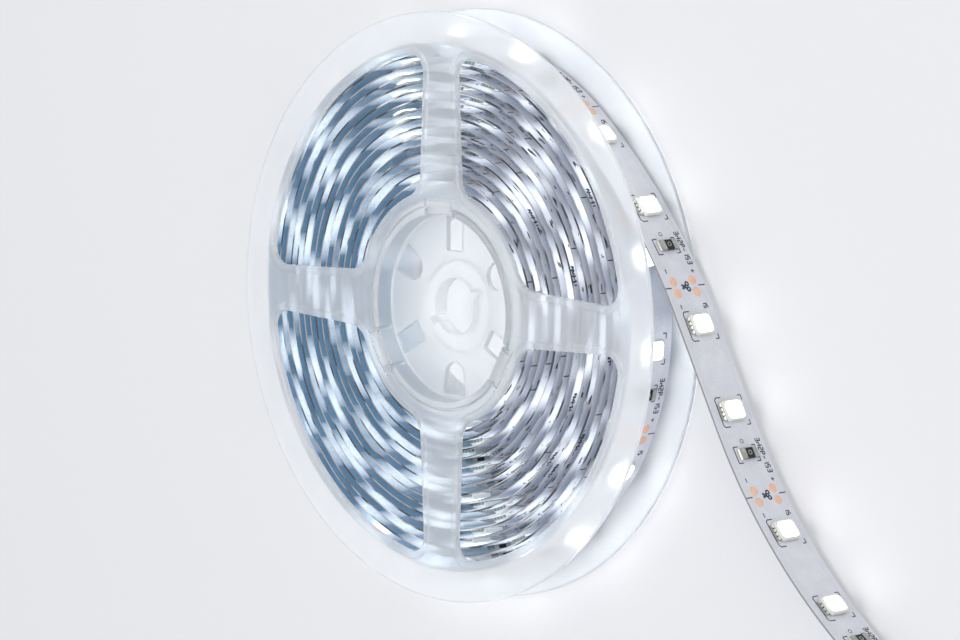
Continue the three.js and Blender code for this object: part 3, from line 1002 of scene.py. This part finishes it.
def finger_hooks():
    """Each hook slopes outwards, so that the front flange pushes the finger in as it snaps on."""
    shell = Shell()
    half = FINGER_WIDTH / 2 - 0.2
    inside = SLEEVE_INNER_RADIUS + 0.1
    section = near(HOOK_REACH, HOOK_BOTTOM, (-0.3, 0), (0, 0.1), (-0.05, 0.22))
    section += near(HOOK_REACH, HOOK_TOP, (-0.55, -0.03), (-0.7, 0))
    for degrees in FINGER_ANGLES:
        outlines = [(turned(rounded_box(inside, reach, half, 0.1, 2), degrees), height)
                    for reach, height in section]
        shell.stack(outlines, covered=True)
    return shell.mesh("finger_hooks")


print("three fingers at", FINGER_ANGLES, "degrees")

# %% Cut the fingers free and add the hooks
def combine(base, operation, tool_mesh):
    """Joins a closed mesh to a piece, or cuts it away, and keeps the result as a plain mesh."""
    tool = piece(tool_mesh.name, tool_mesh, FROSTED)
    modifier = base.modifiers.new("combine", "BOOLEAN")
    modifier.operation = operation
    modifier.solver = "EXACT"
    modifier.object = tool
    evaluated = base.evaluated_get(bpy.context.evaluated_depsgraph_get())
    result = bpy.data.meshes.new_from_object(evaluated)
    base.modifiers.clear()
    base.data = result
    bpy.data.objects.remove(tool)


rear = piece("rear_flange_moulding", rear_shell(), FROSTED)
combine(rear, "DIFFERENCE", finger_cuts())
combine(rear, "UNION", finger_hooks())
rear.data.set_sharp_from_angle(angle=math.radians(SHARP_ANGLE))
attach(rear, "root")
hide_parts("rear_flange")
print(rear.name, len(rear.data.polygons), "faces")

# %% [markdown]
# ## The path of the strip
# The strip is one ribbon from the hub to its free end, so everything on it is placed by one
# number, the distance along it. The path is the line of its inner face: seventeen turns of a
# spiral, which widens at each turn by a little more than the strip's height with its lamps, and
# then two bends with a straight stretch between them. Real turns aren't perfect: each lamp
# presses on the next turn, so the radius wanders a little, and nearly the same on every turn,
# because each lies on the one before.

# %% The wound turns
FIRST_TURN_RADIUS = 16.5
TURN_PITCH = 1.325
TURNS = 17
LEAVING_ANGLE = math.radians(52)
STEPS_PER_TURN = 120
LAST_TURN_SLACK = 0.9


def ease(share):
    """From 0 to 1, level at both ends."""
    share = max(0, min(1, share))
    return share * share * (3 - 2 * share)


def wander(angle):
    """How far a turn lies off the even spiral: nothing at the hub and at the coil's end."""
    place = LEAVING_ANGLE - angle
    whole = 2 * math.pi * TURNS
    share = min(1, angle / 30) * min(1, (whole - angle) / 6)
    drift = 0.008 * angle
    even = 0.16 * math.sin(3 * place + 0.6) + 0.09 * math.sin(5 * place + 2.0)
    even += 0.05 * math.sin(11 * place + drift) + 0.025 * math.sin(19 * place - drift)
    own = 0.015 * math.sin(0.37 * angle)
    rise, fall = ease((angle - whole + 2 * math.pi) / 0.9), ease((whole - angle) / 2.5)
    loose = LAST_TURN_SLACK * rise * fall
    return share * (even + own) + loose


def spiral_point(angle):
    radius = FIRST_TURN_RADIUS + TURN_PITCH * angle / (2 * math.pi) + wander(angle)
    return polar(radius, LEAVING_ANGLE - angle)


def coil_points():
    count = TURNS * STEPS_PER_TURN
    return [spiral_point(2 * math.pi * i / STEPS_PER_TURN) for i in range(count + 1)]


print("the coil ends", round(spiral_point(2 * math.pi * TURNS).length, 1), "mm from the axis")

# %% The loose end and the whole path
TAIL_CUTS = 3
# Length and turn of each stretch of the loose end
TAIL_STRETCHES = ((36.9, -24), (17.0, 0), (43.3, 29.2))
TAIL_STEP = 0.9


def tail_points(start):
    """Walks along the bends in short steps, heading off the spiral's end."""
    climb = math.atan2(TURN_PITCH, 2 * math.pi * start.length)
    heading = LEAVING_ANGLE - math.pi / 2 + climb
    points = []
    point = start.copy()
    for length, turn in TAIL_STRETCHES:
        count = round(length / TAIL_STEP)
        bend = math.radians(turn) / count
        for _ in range(count):
            point = point + polar(length / count, heading + bend / 2)
            heading += bend
            points.append(point)
    return points


def strip_path():
    coil = coil_points()
    points = coil + tail_points(coil[-1])
    distances = [0.0]
    for one, other in zip(coil, coil[1:]):
        distances.append(distances[-1] + (other - one).length)
    mesh = bpy.data.meshes.new("strip_path")
    edges = [(i, i + 1) for i in range(len(points) - 1)]
    mesh.from_pydata([(p.x * MM, p.y * MM, STRIP_MIDDLE * MM) for p in points], edges, [])
    mesh.transform(Matrix.Translation((AXIS.x, AXIS.y, 0)))
    return mesh, distances


PATH_MESH, COIL_DISTANCES = strip_path()
WOUND_LENGTH = COIL_DISTANCES[-1]
TAIL_LENGTH = TAIL_CUTS * CUT_LENGTH
CUTS_WOUND = math.floor(WOUND_LENGTH / CUT_LENGTH)
CUTS = CUTS_WOUND + TAIL_CUTS
# The first cut line lies a little way in from the strip's inner end
FIRST_CUT = WOUND_LENGTH - CUTS_WOUND * CUT_LENGTH
print("wound", round(WOUND_LENGTH), "mm, loose", round(TAIL_LENGTH), "mm,", CUTS, "cut lengths")

# %% [markdown]
# ## Laying shapes along the strip
# Lamps, pads and marks repeat on all 94 cut lengths, so Geometry Nodes lay them. A shape is drawn
# flat: X along the strip, Y up from its inner face, and Z across it. The tree repeats the shape
# at even steps on a straight line and makes the copies real. Then it reads each point's X as a
# distance along the path and carries the point there, so even a long printed mark bends with
# the turn it lies on. The ribbon itself is laid the same way, as one long shape.

# %% The laying tree
def laying_tree():
    tree = new_group("lay_along_strip", "GeometryNodeTree", (
        ("Path", "INPUT", "Geometry"),
        ("Shape", "INPUT", "Object"),
        ("First", "INPUT", "Float"),
        ("Spacing", "INPUT", "Float"),
        ("Count", "INPUT", "Int"),
        ("Finish", "INPUT", "Material"),
        ("Laid", "OUTPUT", "Geometry"),
    ))
    given = add(tree, "NodeGroupInput").outputs
    index = add(tree, "GeometryNodeInputIndex").outputs[0]
    distance = math_node(tree, "MULTIPLY_ADD", index, given["Spacing"], given["First"])
    straight = add(tree, "ShaderNodeCombineXYZ", {"X": distance}).outputs[0]
    points = add(tree, "GeometryNodePoints", {"Count": given["Count"], "Position": straight})
    shape = add(tree, "GeometryNodeObjectInfo", {"Object": given["Shape"], "As Instance": True})
    copies = add(tree, "GeometryNodeInstanceOnPoints",
                 {"Points": points.outputs[0], "Instance": shape.outputs["Geometry"]})
    real = add(tree, "GeometryNodeRealizeInstances", {"Geometry": copies.outputs[0]})

    path = add(tree, "GeometryNodeMeshToCurve", {"Mesh": given["Path"]}).outputs[0]
    here = add(tree, "GeometryNodeInputPosition").outputs[0]
    parts = axes(tree, here)
    sample = add(tree, "GeometryNodeSampleCurve", mode="LENGTH")
    feed(tree, sample, {"Curves": path, "Length": parts["X"]})
    outward = vector_node(tree, "CROSS_PRODUCT", (0, 0, 1), sample.outputs["Tangent"])
    outward = vector_node(tree, "NORMALIZE", outward)
    off = add(tree, "ShaderNodeVectorMath", {0: outward, "Scale": parts["Y"]}, operation="SCALE")
    across = add(tree, "ShaderNodeCombineXYZ", {"Z": parts["Z"]}).outputs[0]
    place = vector_node(tree, "ADD", sample.outputs["Position"], off.outputs[0])
    place = vector_node(tree, "ADD", place, across)
    bent = add(tree, "GeometryNodeSetPosition", {"Geometry": real.outputs[0], "Position": place})
    finished = add(tree, "GeometryNodeSetMaterial",
                   {"Geometry": bent.outputs[0], "Material": given["Finish"]})
    add(tree, "NodeGroupOutput", {"Laid": finished.outputs[0]})
    return tree


LAYING = laying_tree()
LAYING_INPUTS = {i.name: i.identifier for i in LAYING.interface.items_tree if i.in_out == "INPUT"}
print("laying inputs:", list(LAYING_INPUTS))

# %% Lay a shape and keep the piece
def lay(name, shape_mesh, finish, first=0.0, spacing=0.0, count=1):
    """Lays copies of a flat shape, in millimetres, along the strip, as one plain mesh."""
    shape_mesh.transform(Matrix.Scale(MM, 4))
    shape = put(name + "_shape", shape_mesh)
    laid = put(name, PATH_MESH.copy())
    modifier = laid.modifiers.new("lay", "NODES")
    modifier.node_group = LAYING
    values = {"Shape": shape, "First": first * MM, "Spacing": spacing * MM,
              "Count": count, "Finish": finish}
    for key, value in values.items():
        modifier[LAYING_INPUTS[key]] = value
    evaluated = laid.evaluated_get(bpy.context.evaluated_depsgraph_get())
    mesh = bpy.data.meshes.new_from_object(evaluated)
    laid.modifiers.clear()
    laid.data = mesh
    bpy.data.objects.remove(shape)
    return laid


def keep(made, slot, *nodes):
    """Attaches a piece to the root body and hides the solids it stands for. The finish slot is not
    used.
    """
    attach(made, "root")
    if nodes:
        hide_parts(*nodes)
    print(made.name, len(made.data.polygons), "faces")


print("pieces so far:", [front.name, rear.name])

# %% [markdown]
# ## The ribbon
# The strip has two layers: the lacquered board, and below it an adhesive layer with its backing
# film. Each is a long thin bar with eight corners in its section, so the edges catch the light.
# It is divided about every 1.6 millimetres to bend smoothly, and it carries two maps for the
# finishes: metres along and across the strip, and the place of the lamps in each gap.

# %% How closed each gap is
# How closed a gap is where lamps light it less, and over what length gaps open
FLANGE_SHARE = 0.4
FIRST_TURN_SHARE = 0.6
GAP_FADE = 20
FLANGE_FADE = 30


def gap_over_board(distance):
    """Where the lamps over the board lie, and how closed the gap over it is, from 0 to 1."""
    covered = COIL_DISTANCES[-1 - STEPS_PER_TURN]
    turns_over = 1 - ease((distance - covered) / GAP_FADE + 1)
    flanges_beside = 1 - ease((distance - WOUND_LENGTH) / FLANGE_FADE + 0.5)
    return distance, max(turns_over, FLANGE_SHARE * flanges_beside)


def gap_under_backing(distance):
    """The same for the backing film, which the lamps of the next turn within light.

    The first turn has the hub within, and its own lamps light it through the board.
    """
    place = bisect.bisect(COIL_DISTANCES, distance) - 1
    within = place - STEPS_PER_TURN
    if within < 0:
        return distance, FIRST_TURN_SHARE
    if place + 1 >= len(COIL_DISTANCES):
        return 0.0, 0.0
    start, end = COIL_DISTANCES[place], COIL_DISTANCES[place + 1]
    share = (distance - start) / (end - start)
    start, end = COIL_DISTANCES[within], COIL_DISTANCES[within + 1]
    return start + (end - start) * share, min(1, (WOUND_LENGTH - distance) / GAP_FADE)


print("over the board at half the coil:", gap_over_board(WOUND_LENGTH / 2)[1], "closed")

# %% Board and backing ribbons
RIBBON_STEP = 1.6
LAYER_GAP = 0.004


def ribbon_mesh(name, bottom, top, half_width, corner, gap):
    """A straight bar with its two maps, from the strip's inner end to its free end."""
    section = ((bottom, corner - half_width), (bottom + corner, -half_width),
               (top - corner, -half_width), (top, corner - half_width),
               (top, half_width - corner), (top - corner, half_width),
               (bottom + corner, half_width), (bottom, half_width - corner))
    length = WOUND_LENGTH + TAIL_LENGTH
    count = round(length / RIBBON_STEP)
    size = len(section)
    points = [(length * i / count, y, z) for i in range(count + 1) for y, z in section]
    faces = [tuple(range(size)), tuple(range(count * size, (count + 1) * size))]
    for i in range(count):
        for k in range(size):
            n = (k + 1) % size
            faces.append((i * size + k, i * size + n, (i + 1) * size + n, (i + 1) * size + k))
    mesh = skinned(name, points, faces, 30)
    strip_map = mesh.uv_layers.new(name="strip_map")
    lamp_map = mesh.uv_layers.new(name="lamp_map")
    gaps = [gap(length * i / count) for i in range(count + 1)]
    for i, loop in enumerate(mesh.loops):
        x, _, z = points[loop.vertex_index]
        lamps, closed = gaps[loop.vertex_index // size]
        strip_map.data[i].uv = (x * MM, z * MM)
        lamp_map.data[i].uv = ((lamps - FIRST_CUT) * MM, closed)
    return mesh


half_strip = STRIP_WIDTH / 2
half_backing = half_strip - 0.05
board_bottom = BACKING_THICKNESS + LAYER_GAP
board_mesh = ribbon_mesh("board", board_bottom, STRIP_THICKNESS, half_strip, 0.03, gap_over_board)
backing_mesh = ribbon_mesh("backing", 0, BACKING_THICKNESS, half_backing, 0.02, gap_under_backing)
keep(lay("strip_board_ribbon", board_mesh, BOARD), "strip_board", "strip_coil", "strip_tail")
keep(lay("strip_backing_ribbon", backing_mesh, BACKING), "strip_backing")

# %% [markdown]
# ## Lamps
# A lamp is a white moulded cup with sloping sides and one cut corner. Lit phosphor fills the
# cup, and tinned feet stick out on both sides and sit in little slopes of solder. Ninety-four
# cut lengths carry two lamps each, so a lamp has few faces: twelve points round and six loops.

# %% Lamp cup and phosphor
BOARD_TOP = STRIP_THICKNESS
LAMP_LENGTH = 3.2
LAMP_WIDTH = 3.8
LAMP_BOTTOM = BOARD_TOP + 0.18
LAMP_TOP = BOARD_TOP + 0.85
CUP_DEPTH = 0.12
CORNER_CUT = 0.45
LAMP_WINDOW_HALF_LENGTH = 1.35
LAMP_WINDOW_HALF_WIDTH = 1.66
LAMP_WINDOW_CORNER = 0.6


def flat_on_strip(shell, name, sharp=SHARP_ANGLE):
    """A shape drawn in the plane of the strip, with its height turned to Y."""
    shell.points = [(x, height, across) for x, across, height in shell.points]
    return shell.mesh(name, sharp)


def cup_outline(inset, corner):
    """The outside of the cup, with one corner cut off."""
    half, across = LAMP_LENGTH / 2 - inset, LAMP_WIDTH / 2 - inset
    outline = rounded_box(-half, half, across, corner, 2)
    cut = CORNER_CUT
    outline[0:3] = [Vector((half, across - cut)), Vector((half - cut / 2, across - cut / 2)),
                    Vector((half - cut, across))]
    return outline


def lamp_window_outline(inset):
    half = LAMP_WINDOW_HALF_LENGTH
    return rounded_box(inset - half, half - inset, LAMP_WINDOW_HALF_WIDTH - inset,
                       LAMP_WINDOW_CORNER - inset, 2)


def lamp_cup():
    shell = Shell()
    outside = ((0.06, 0.35, LAMP_BOTTOM), (0.0, 0.35, LAMP_BOTTOM + 0.2),
               (0.06, 0.45, LAMP_TOP - 0.08), (0.12, 0.45, LAMP_TOP))
    window = ((0.0, LAMP_TOP), (0.08, LAMP_TOP - CUP_DEPTH))
    outlines = [(cup_outline(inset, corner), height) for inset, corner, height in outside]
    outlines += [(lamp_window_outline(inset), height) for inset, height in window]
    shell.stack(outlines, covered=True)
    return flat_on_strip(shell, "lamp_cup", 40)


def lamp_phosphor():
    """A low dome that stays inside the cup."""
    shell = Shell()
    floor = LAMP_TOP - CUP_DEPTH
    section = ((0.1, 0.005), (0.1, 0.05), (0.3, 0.085))
    outlines = [(lamp_window_outline(inset), floor + rise) for inset, rise in section]
    shell.stack(outlines, covered=True)
    return flat_on_strip(shell, "lamp_phosphor", 60)


print("a lamp stands", round(LAMP_TOP - BOARD_TOP, 2), "mm above the board")

# %% Feet and solder
# The terminals along the lamp's front side and along its rear side, from and to
FRONT_FEET = ((-1.25, -0.75), (-0.55, -0.1), (0.1, 0.55), (0.75, 1.25))
REAR_FOOT = (-1.15, 1.15)


def extruded(shell, section, start, end):
    """A section in height and across, drawn out along the strip."""
    low = [len(shell.points) + i for i in range(len(section))]
    shell.points += [(start, across, height) for height, across in section]
    high = [len(shell.points) + i for i in range(len(section))]
    shell.points += [(end, across, height) for height, across in section]
    shell.walls([low, high])
    shell.faces += [tuple(low), tuple(high)]


def foot_section(side, reach):
    """A terminal's end view: a step out of the cup, and the solder that runs down to the board."""
    inner = LAMP_WIDTH / 2 - 0.15
    outline = ((BOARD_TOP + 0.01, inner), (BOARD_TOP + 0.01, inner + reach + 0.3),
               (BOARD_TOP + 0.1, inner + reach + 0.18), (BOARD_TOP + 0.34, inner + reach),
               (BOARD_TOP + 0.45, inner + reach - 0.06), (BOARD_TOP + 0.45, inner))
    return [(height, side * across) for height, across in outline]


def lamp_feet():
    shell = Shell()
    for start, end in FRONT_FEET:
        extruded(shell, foot_section(1, 0.32), start, end)
    extruded(shell, foot_section(-1, 0.3), *REAR_FOOT)
    return flat_on_strip(shell, "lamp_feet")


print("a lamp has", len(FRONT_FEET) + 1, "feet")

# %% Lamps on every cut length
LAMP_NODES = tuple(f"lamp_{i}" for i in range(1, 7))


def on_every_cut(name, shape, finish, slot, place, *nodes):
    """Lays one shape on each cut length, at a place after the cut line, and keeps the piece."""
    keep(lay(name, shape, finish, FIRST_CUT + place, CUT_LENGTH, CUTS), slot, *nodes)


# The first lamp of each cut length, then the second
for place, letter, nodes in zip(LAMP_PLACES, "ab", (LAMP_NODES[0::2], LAMP_NODES[1::2])):
    at = place * CUT_LENGTH
    on_every_cut(f"lamp_cups_{letter}", lamp_cup(), LAMP_BODY, "lamp_white", at, *nodes)
    on_every_cut(f"lamp_phosphor_{letter}", lamp_phosphor(), LAMP_LIT, "lamp_white", at)
    on_every_cut(f"lamp_feet_{letter}", lamp_feet(), TINNED, "bright_metal", at)

# %% [markdown]
# ## Resistors
# One chip resistor in each cut length sets the current of its two lamps. It is a dark glazed
# block that lies across the strip between two tinned caps, and each cap stands in a little
# slope of solder.

# %% Resistors on every cut length
RESISTOR_PLACE = 0.797
RESISTOR_NODES = ("resistor_1", "resistor_2", "resistor_3")
CHIP_BOTTOM = BOARD_TOP + 0.08
CHIP_TOP = BOARD_TOP + 0.63
CHIP_HALF_LENGTH = 0.78
CHIP_HALF_WIDTH = 0.85
CAP_HALF_LENGTH = 0.8
NOUGHT_RADII = (0.36, 0.24)
# A cap's end view: height and distance across, from its foot under the chip round to its top
CAP_SECTION = (
    (CHIP_BOTTOM - 0.07, 0.74), (CHIP_BOTTOM - 0.07, 1.8), (CHIP_BOTTOM + 0.03, 1.69),
    (CHIP_BOTTOM + 0.3, 1.61), (CHIP_TOP - 0.06, 1.6), (CHIP_TOP, 1.54),
    (CHIP_TOP, 0.78), (CHIP_TOP - 0.02, 0.74),
)


def chip_body():
    shell = Shell()
    section = ((0.03, CHIP_BOTTOM), (0, CHIP_BOTTOM + 0.05),
               (0, CHIP_TOP - 0.08), (0.05, CHIP_TOP - 0.03))
    half = CHIP_HALF_LENGTH
    outlines = [(rounded_box(inset - half, half - inset, CHIP_HALF_WIDTH, 0.08, 1), height)
                for inset, height in section]
    shell.stack(outlines, covered=True)
    return flat_on_strip(shell, "chip_body")


def chip_caps():
    shell = Shell()
    for side in (-1, 1):
        section = [(height, side * across) for height, across in CAP_SECTION]
        extruded(shell, section, -CAP_HALF_LENGTH, CAP_HALF_LENGTH)
    return flat_on_strip(shell, "chip_caps")


def chip_figure():
    """A plain nought on the black glaze."""
    shell = Shell()
    outer, inner = (circle(radius, 12) for radius in NOUGHT_RADII)
    ring(shell, outer, inner, CHIP_TOP - 0.04, CHIP_TOP - 0.01)
    return flat_on_strip(shell, "chip_figure")


at = RESISTOR_PLACE * CUT_LENGTH
on_every_cut("resistor_bodies", chip_body(), CHIP_BLACK, "resistor_black", at, *RESISTOR_NODES)
on_every_cut("resistor_caps", chip_caps(), TINNED, "bright_metal", at)
on_every_cut("resistor_figures", chip_figure(), TINNED, "bright_metal", at)

# %% [markdown]
# ## Copper pads
# At each cut line four round copper pads lie bare, two on each side, so that a wire can be
# soldered on wherever the strip is cut. They are thin discs that stand just above the lacquer.

# %% Copper pads
PAD_RADIUS = 0.73
PAD_OFFSET = 0.93
PAD_ACROSS = (-1.92, 1.95)
# How far in from the pad's edge, and how high above the lacquer
PAD_SECTION = ((0, -0.01), (0, 0.015), (0.03, 0.03))


def pads():
    shell = Shell()
    for across in PAD_ACROSS:
        outlines = [(moved(circle(PAD_RADIUS - inset, 20), 0, across), BOARD_TOP + rise)
                    for inset, rise in PAD_SECTION]
        shell.stack(outlines, covered=True)
    return flat_on_strip(shell, "pads")


on_every_cut("pads_after_cut", pads(), COPPER, "copper_pad", PAD_OFFSET)
on_every_cut("pads_before_cut", pads(), COPPER, "copper_pad", CUT_LENGTH - PAD_OFFSET)

# %% [markdown]
# ## Printed marks
# The board's print is a thin dark ink: a bracket round each lamp and resistor, ticks and
# scissors at the cut line, plus and minus at the pads, and a row of small figures. All of it is
# drawn as flat bars and rings two hundredths of a millimetre thick, one shape for a whole cut
# length. The figures are plain running numbers and stand for no product.

# %% Bars, rings and brackets
INK_LINE = 0.16
INK_TOP = BOARD_TOP + 0.02
LAMP_BRACKET_HALF = 2.25
RESISTOR_BRACKET_HALF = 1.25
SCISSORS_REACH = 0.62


def bar(shell, start, end, width=INK_LINE):
    """A straight printed line between two points, along and across."""
    start, end = Vector(start), Vector(end)
    side = (end - start).normalized() * width / 2
    side = Vector((-side.y, side.x))
    block(shell, [start - side, end - side, end + side, start + side], BOARD_TOP, INK_TOP)


def printed_ring(shell, centre, radius, width=0.1, steps=10):
    outer, inner = (moved(circle(r, steps), *centre) for r in (radius, radius - width))
    ring(shell, outer, inner, BOARD_TOP, INK_TOP)


def chain(shell, *points):
    """Printed lines from point to point, which meet on their middle lines."""
    for start, end in zip(points, points[1:]):
        bar(shell, start, end)


def lamp_bracket(shell, middle, near_corner):
    """A bracket along a lamp's front side, and corner marks on its rear side."""
    left, right = middle - LAMP_BRACKET_HALF, middle + LAMP_BRACKET_HALF
    chain(shell, (left, 1.2), (left, 2.2), (left + 0.3, 2.5), (right - 0.3, 2.5), (right, 2.2),
          (right, 1.2))
    for side in (-1, 1) if near_corner else (1,):
        x = middle + side * LAMP_BRACKET_HALF
        chain(shell, (x - side * 0.75, -2.85), (x, -2.85), (x, -2.2))


def resistor_bracket(shell, middle):
    left, right = middle - RESISTOR_BRACKET_HALF, middle + RESISTOR_BRACKET_HALF
    chain(shell, (left, 1.45), (left, 2.35), (right, 2.35), (right, 1.45))
    for side in (-1, 1):
        x = middle + side * RESISTOR_BRACKET_HALF
        chain(shell, (x, -1.35), (x, -2.05), (x - side * 0.7, -2.05))


def scissors(shell):
    """Two crossed blades and two finger rings, across the cut line."""
    for side in (-1, 1):
        bar(shell, (side * 0.34, -0.3), (-side * 0.34, SCISSORS_REACH), 0.36)
        printed_ring(shell, (side * 0.42, -0.52), 0.42, 0.26)


print("the ink is", round(INK_TOP - BOARD_TOP, 3), "mm thick")

# %% Figures
# The bars of each figure, as the corners of a box two high and one wide, from 0 to 5
FIGURE_CORNERS = ((0, 0), (1, 0), (0, 1), (1, 1), (0, 2), (1, 2))
FIGURE_BARS = {
    "1": ((1, 5),),
    "2": ((4, 5), (5, 3), (3, 2), (2, 0), (0, 1)),
    "3": ((4, 5), (5, 1), (2, 3), (0, 1)),
    "4": ((4, 2), (2, 3), (5, 1)),
    "5": ((5, 4), (4, 2), (2, 3), (3, 1), (1, 0)),
    "6": ((4, 0), (2, 3), (3, 1), (1, 0)),
    "-": ((2, 3),),
}


def figures(shell, text, start, across, height, line=0.17):
    """A row of plain figures that starts at a place along the strip, with its feet at across."""
    width = height * 0.5
    for i, figure in enumerate(text):
        left = start + i * height * 0.82
        for ends in FIGURE_BARS[figure]:
            (x1, y1), (x2, y2) = (FIGURE_CORNERS[k] for k in ends)
            bar(shell, (left + x1 * width, across + y1 * height / 2),
                (left + x2 * width, across + y2 * height / 2), line)


print("figures:", " ".join(FIGURE_BARS))

# %% Printed marks of one cut length
def marks():
    shell = Shell()
    # Ticks and scissors on the cut line
    bar(shell, (0, -3.98), (0, -2.65))
    bar(shell, (0, 2.75), (0, 3.98))
    scissors(shell)
    # A minus beside the pads on each side of the line
    bar(shell, (2.65, 2.3), (3.35, 2.3), 0.16)
    bar(shell, (CUT_LENGTH - 3.0, 2.5), (CUT_LENGTH - 2.3, 2.5), 0.16)
    # Figures after the line, and a longer row before it
    figures(shell, "12", 2.5, -2.9, 0.75)
    figures(shell, "3456-123", CUT_LENGTH - 8.7, -3.35, 0.85)
    # A plus by the pads before the line
    bar(shell, (CUT_LENGTH - 2.6, -2.7), (CUT_LENGTH - 2.0, -2.7), 0.15)
    bar(shell, (CUT_LENGTH - 2.3, -3.0), (CUT_LENGTH - 2.3, -2.4), 0.15)
    # Brackets, and a ring beside the resistor
    lamp_bracket(shell, LAMP_PLACES[0] * CUT_LENGTH, False)
    lamp_bracket(shell, LAMP_PLACES[1] * CUT_LENGTH, True)
    resistor_bracket(shell, RESISTOR_PLACE * CUT_LENGTH)
    printed_ring(shell, (RESISTOR_PLACE * CUT_LENGTH - 2.0, 0.2), 0.35)
    return flat_on_strip(shell, "marks")


on_every_cut("printed_marks", marks(), INK, "print_ink", 0)

# %% Figures by the front edge
# They stand on every third cut length, and end before the last turn
FIGURED_EVERY = 3
PLAIN_CUTS = 8


def edge_figures():
    """Figures by the front edge, which show between the turns."""
    shell = Shell()
    figures(shell, "6543-21", 21.5, 3.25, 0.5, 0.2)
    return flat_on_strip(shell, "edge_figures")


figured = (CUTS_WOUND - PLAIN_CUTS) // FIGURED_EVERY
figures_apart = FIGURED_EVERY * CUT_LENGTH
keep(lay("edge_figures", edge_figures(), INK, FIRST_CUT, figures_apart, figured), "print_ink")
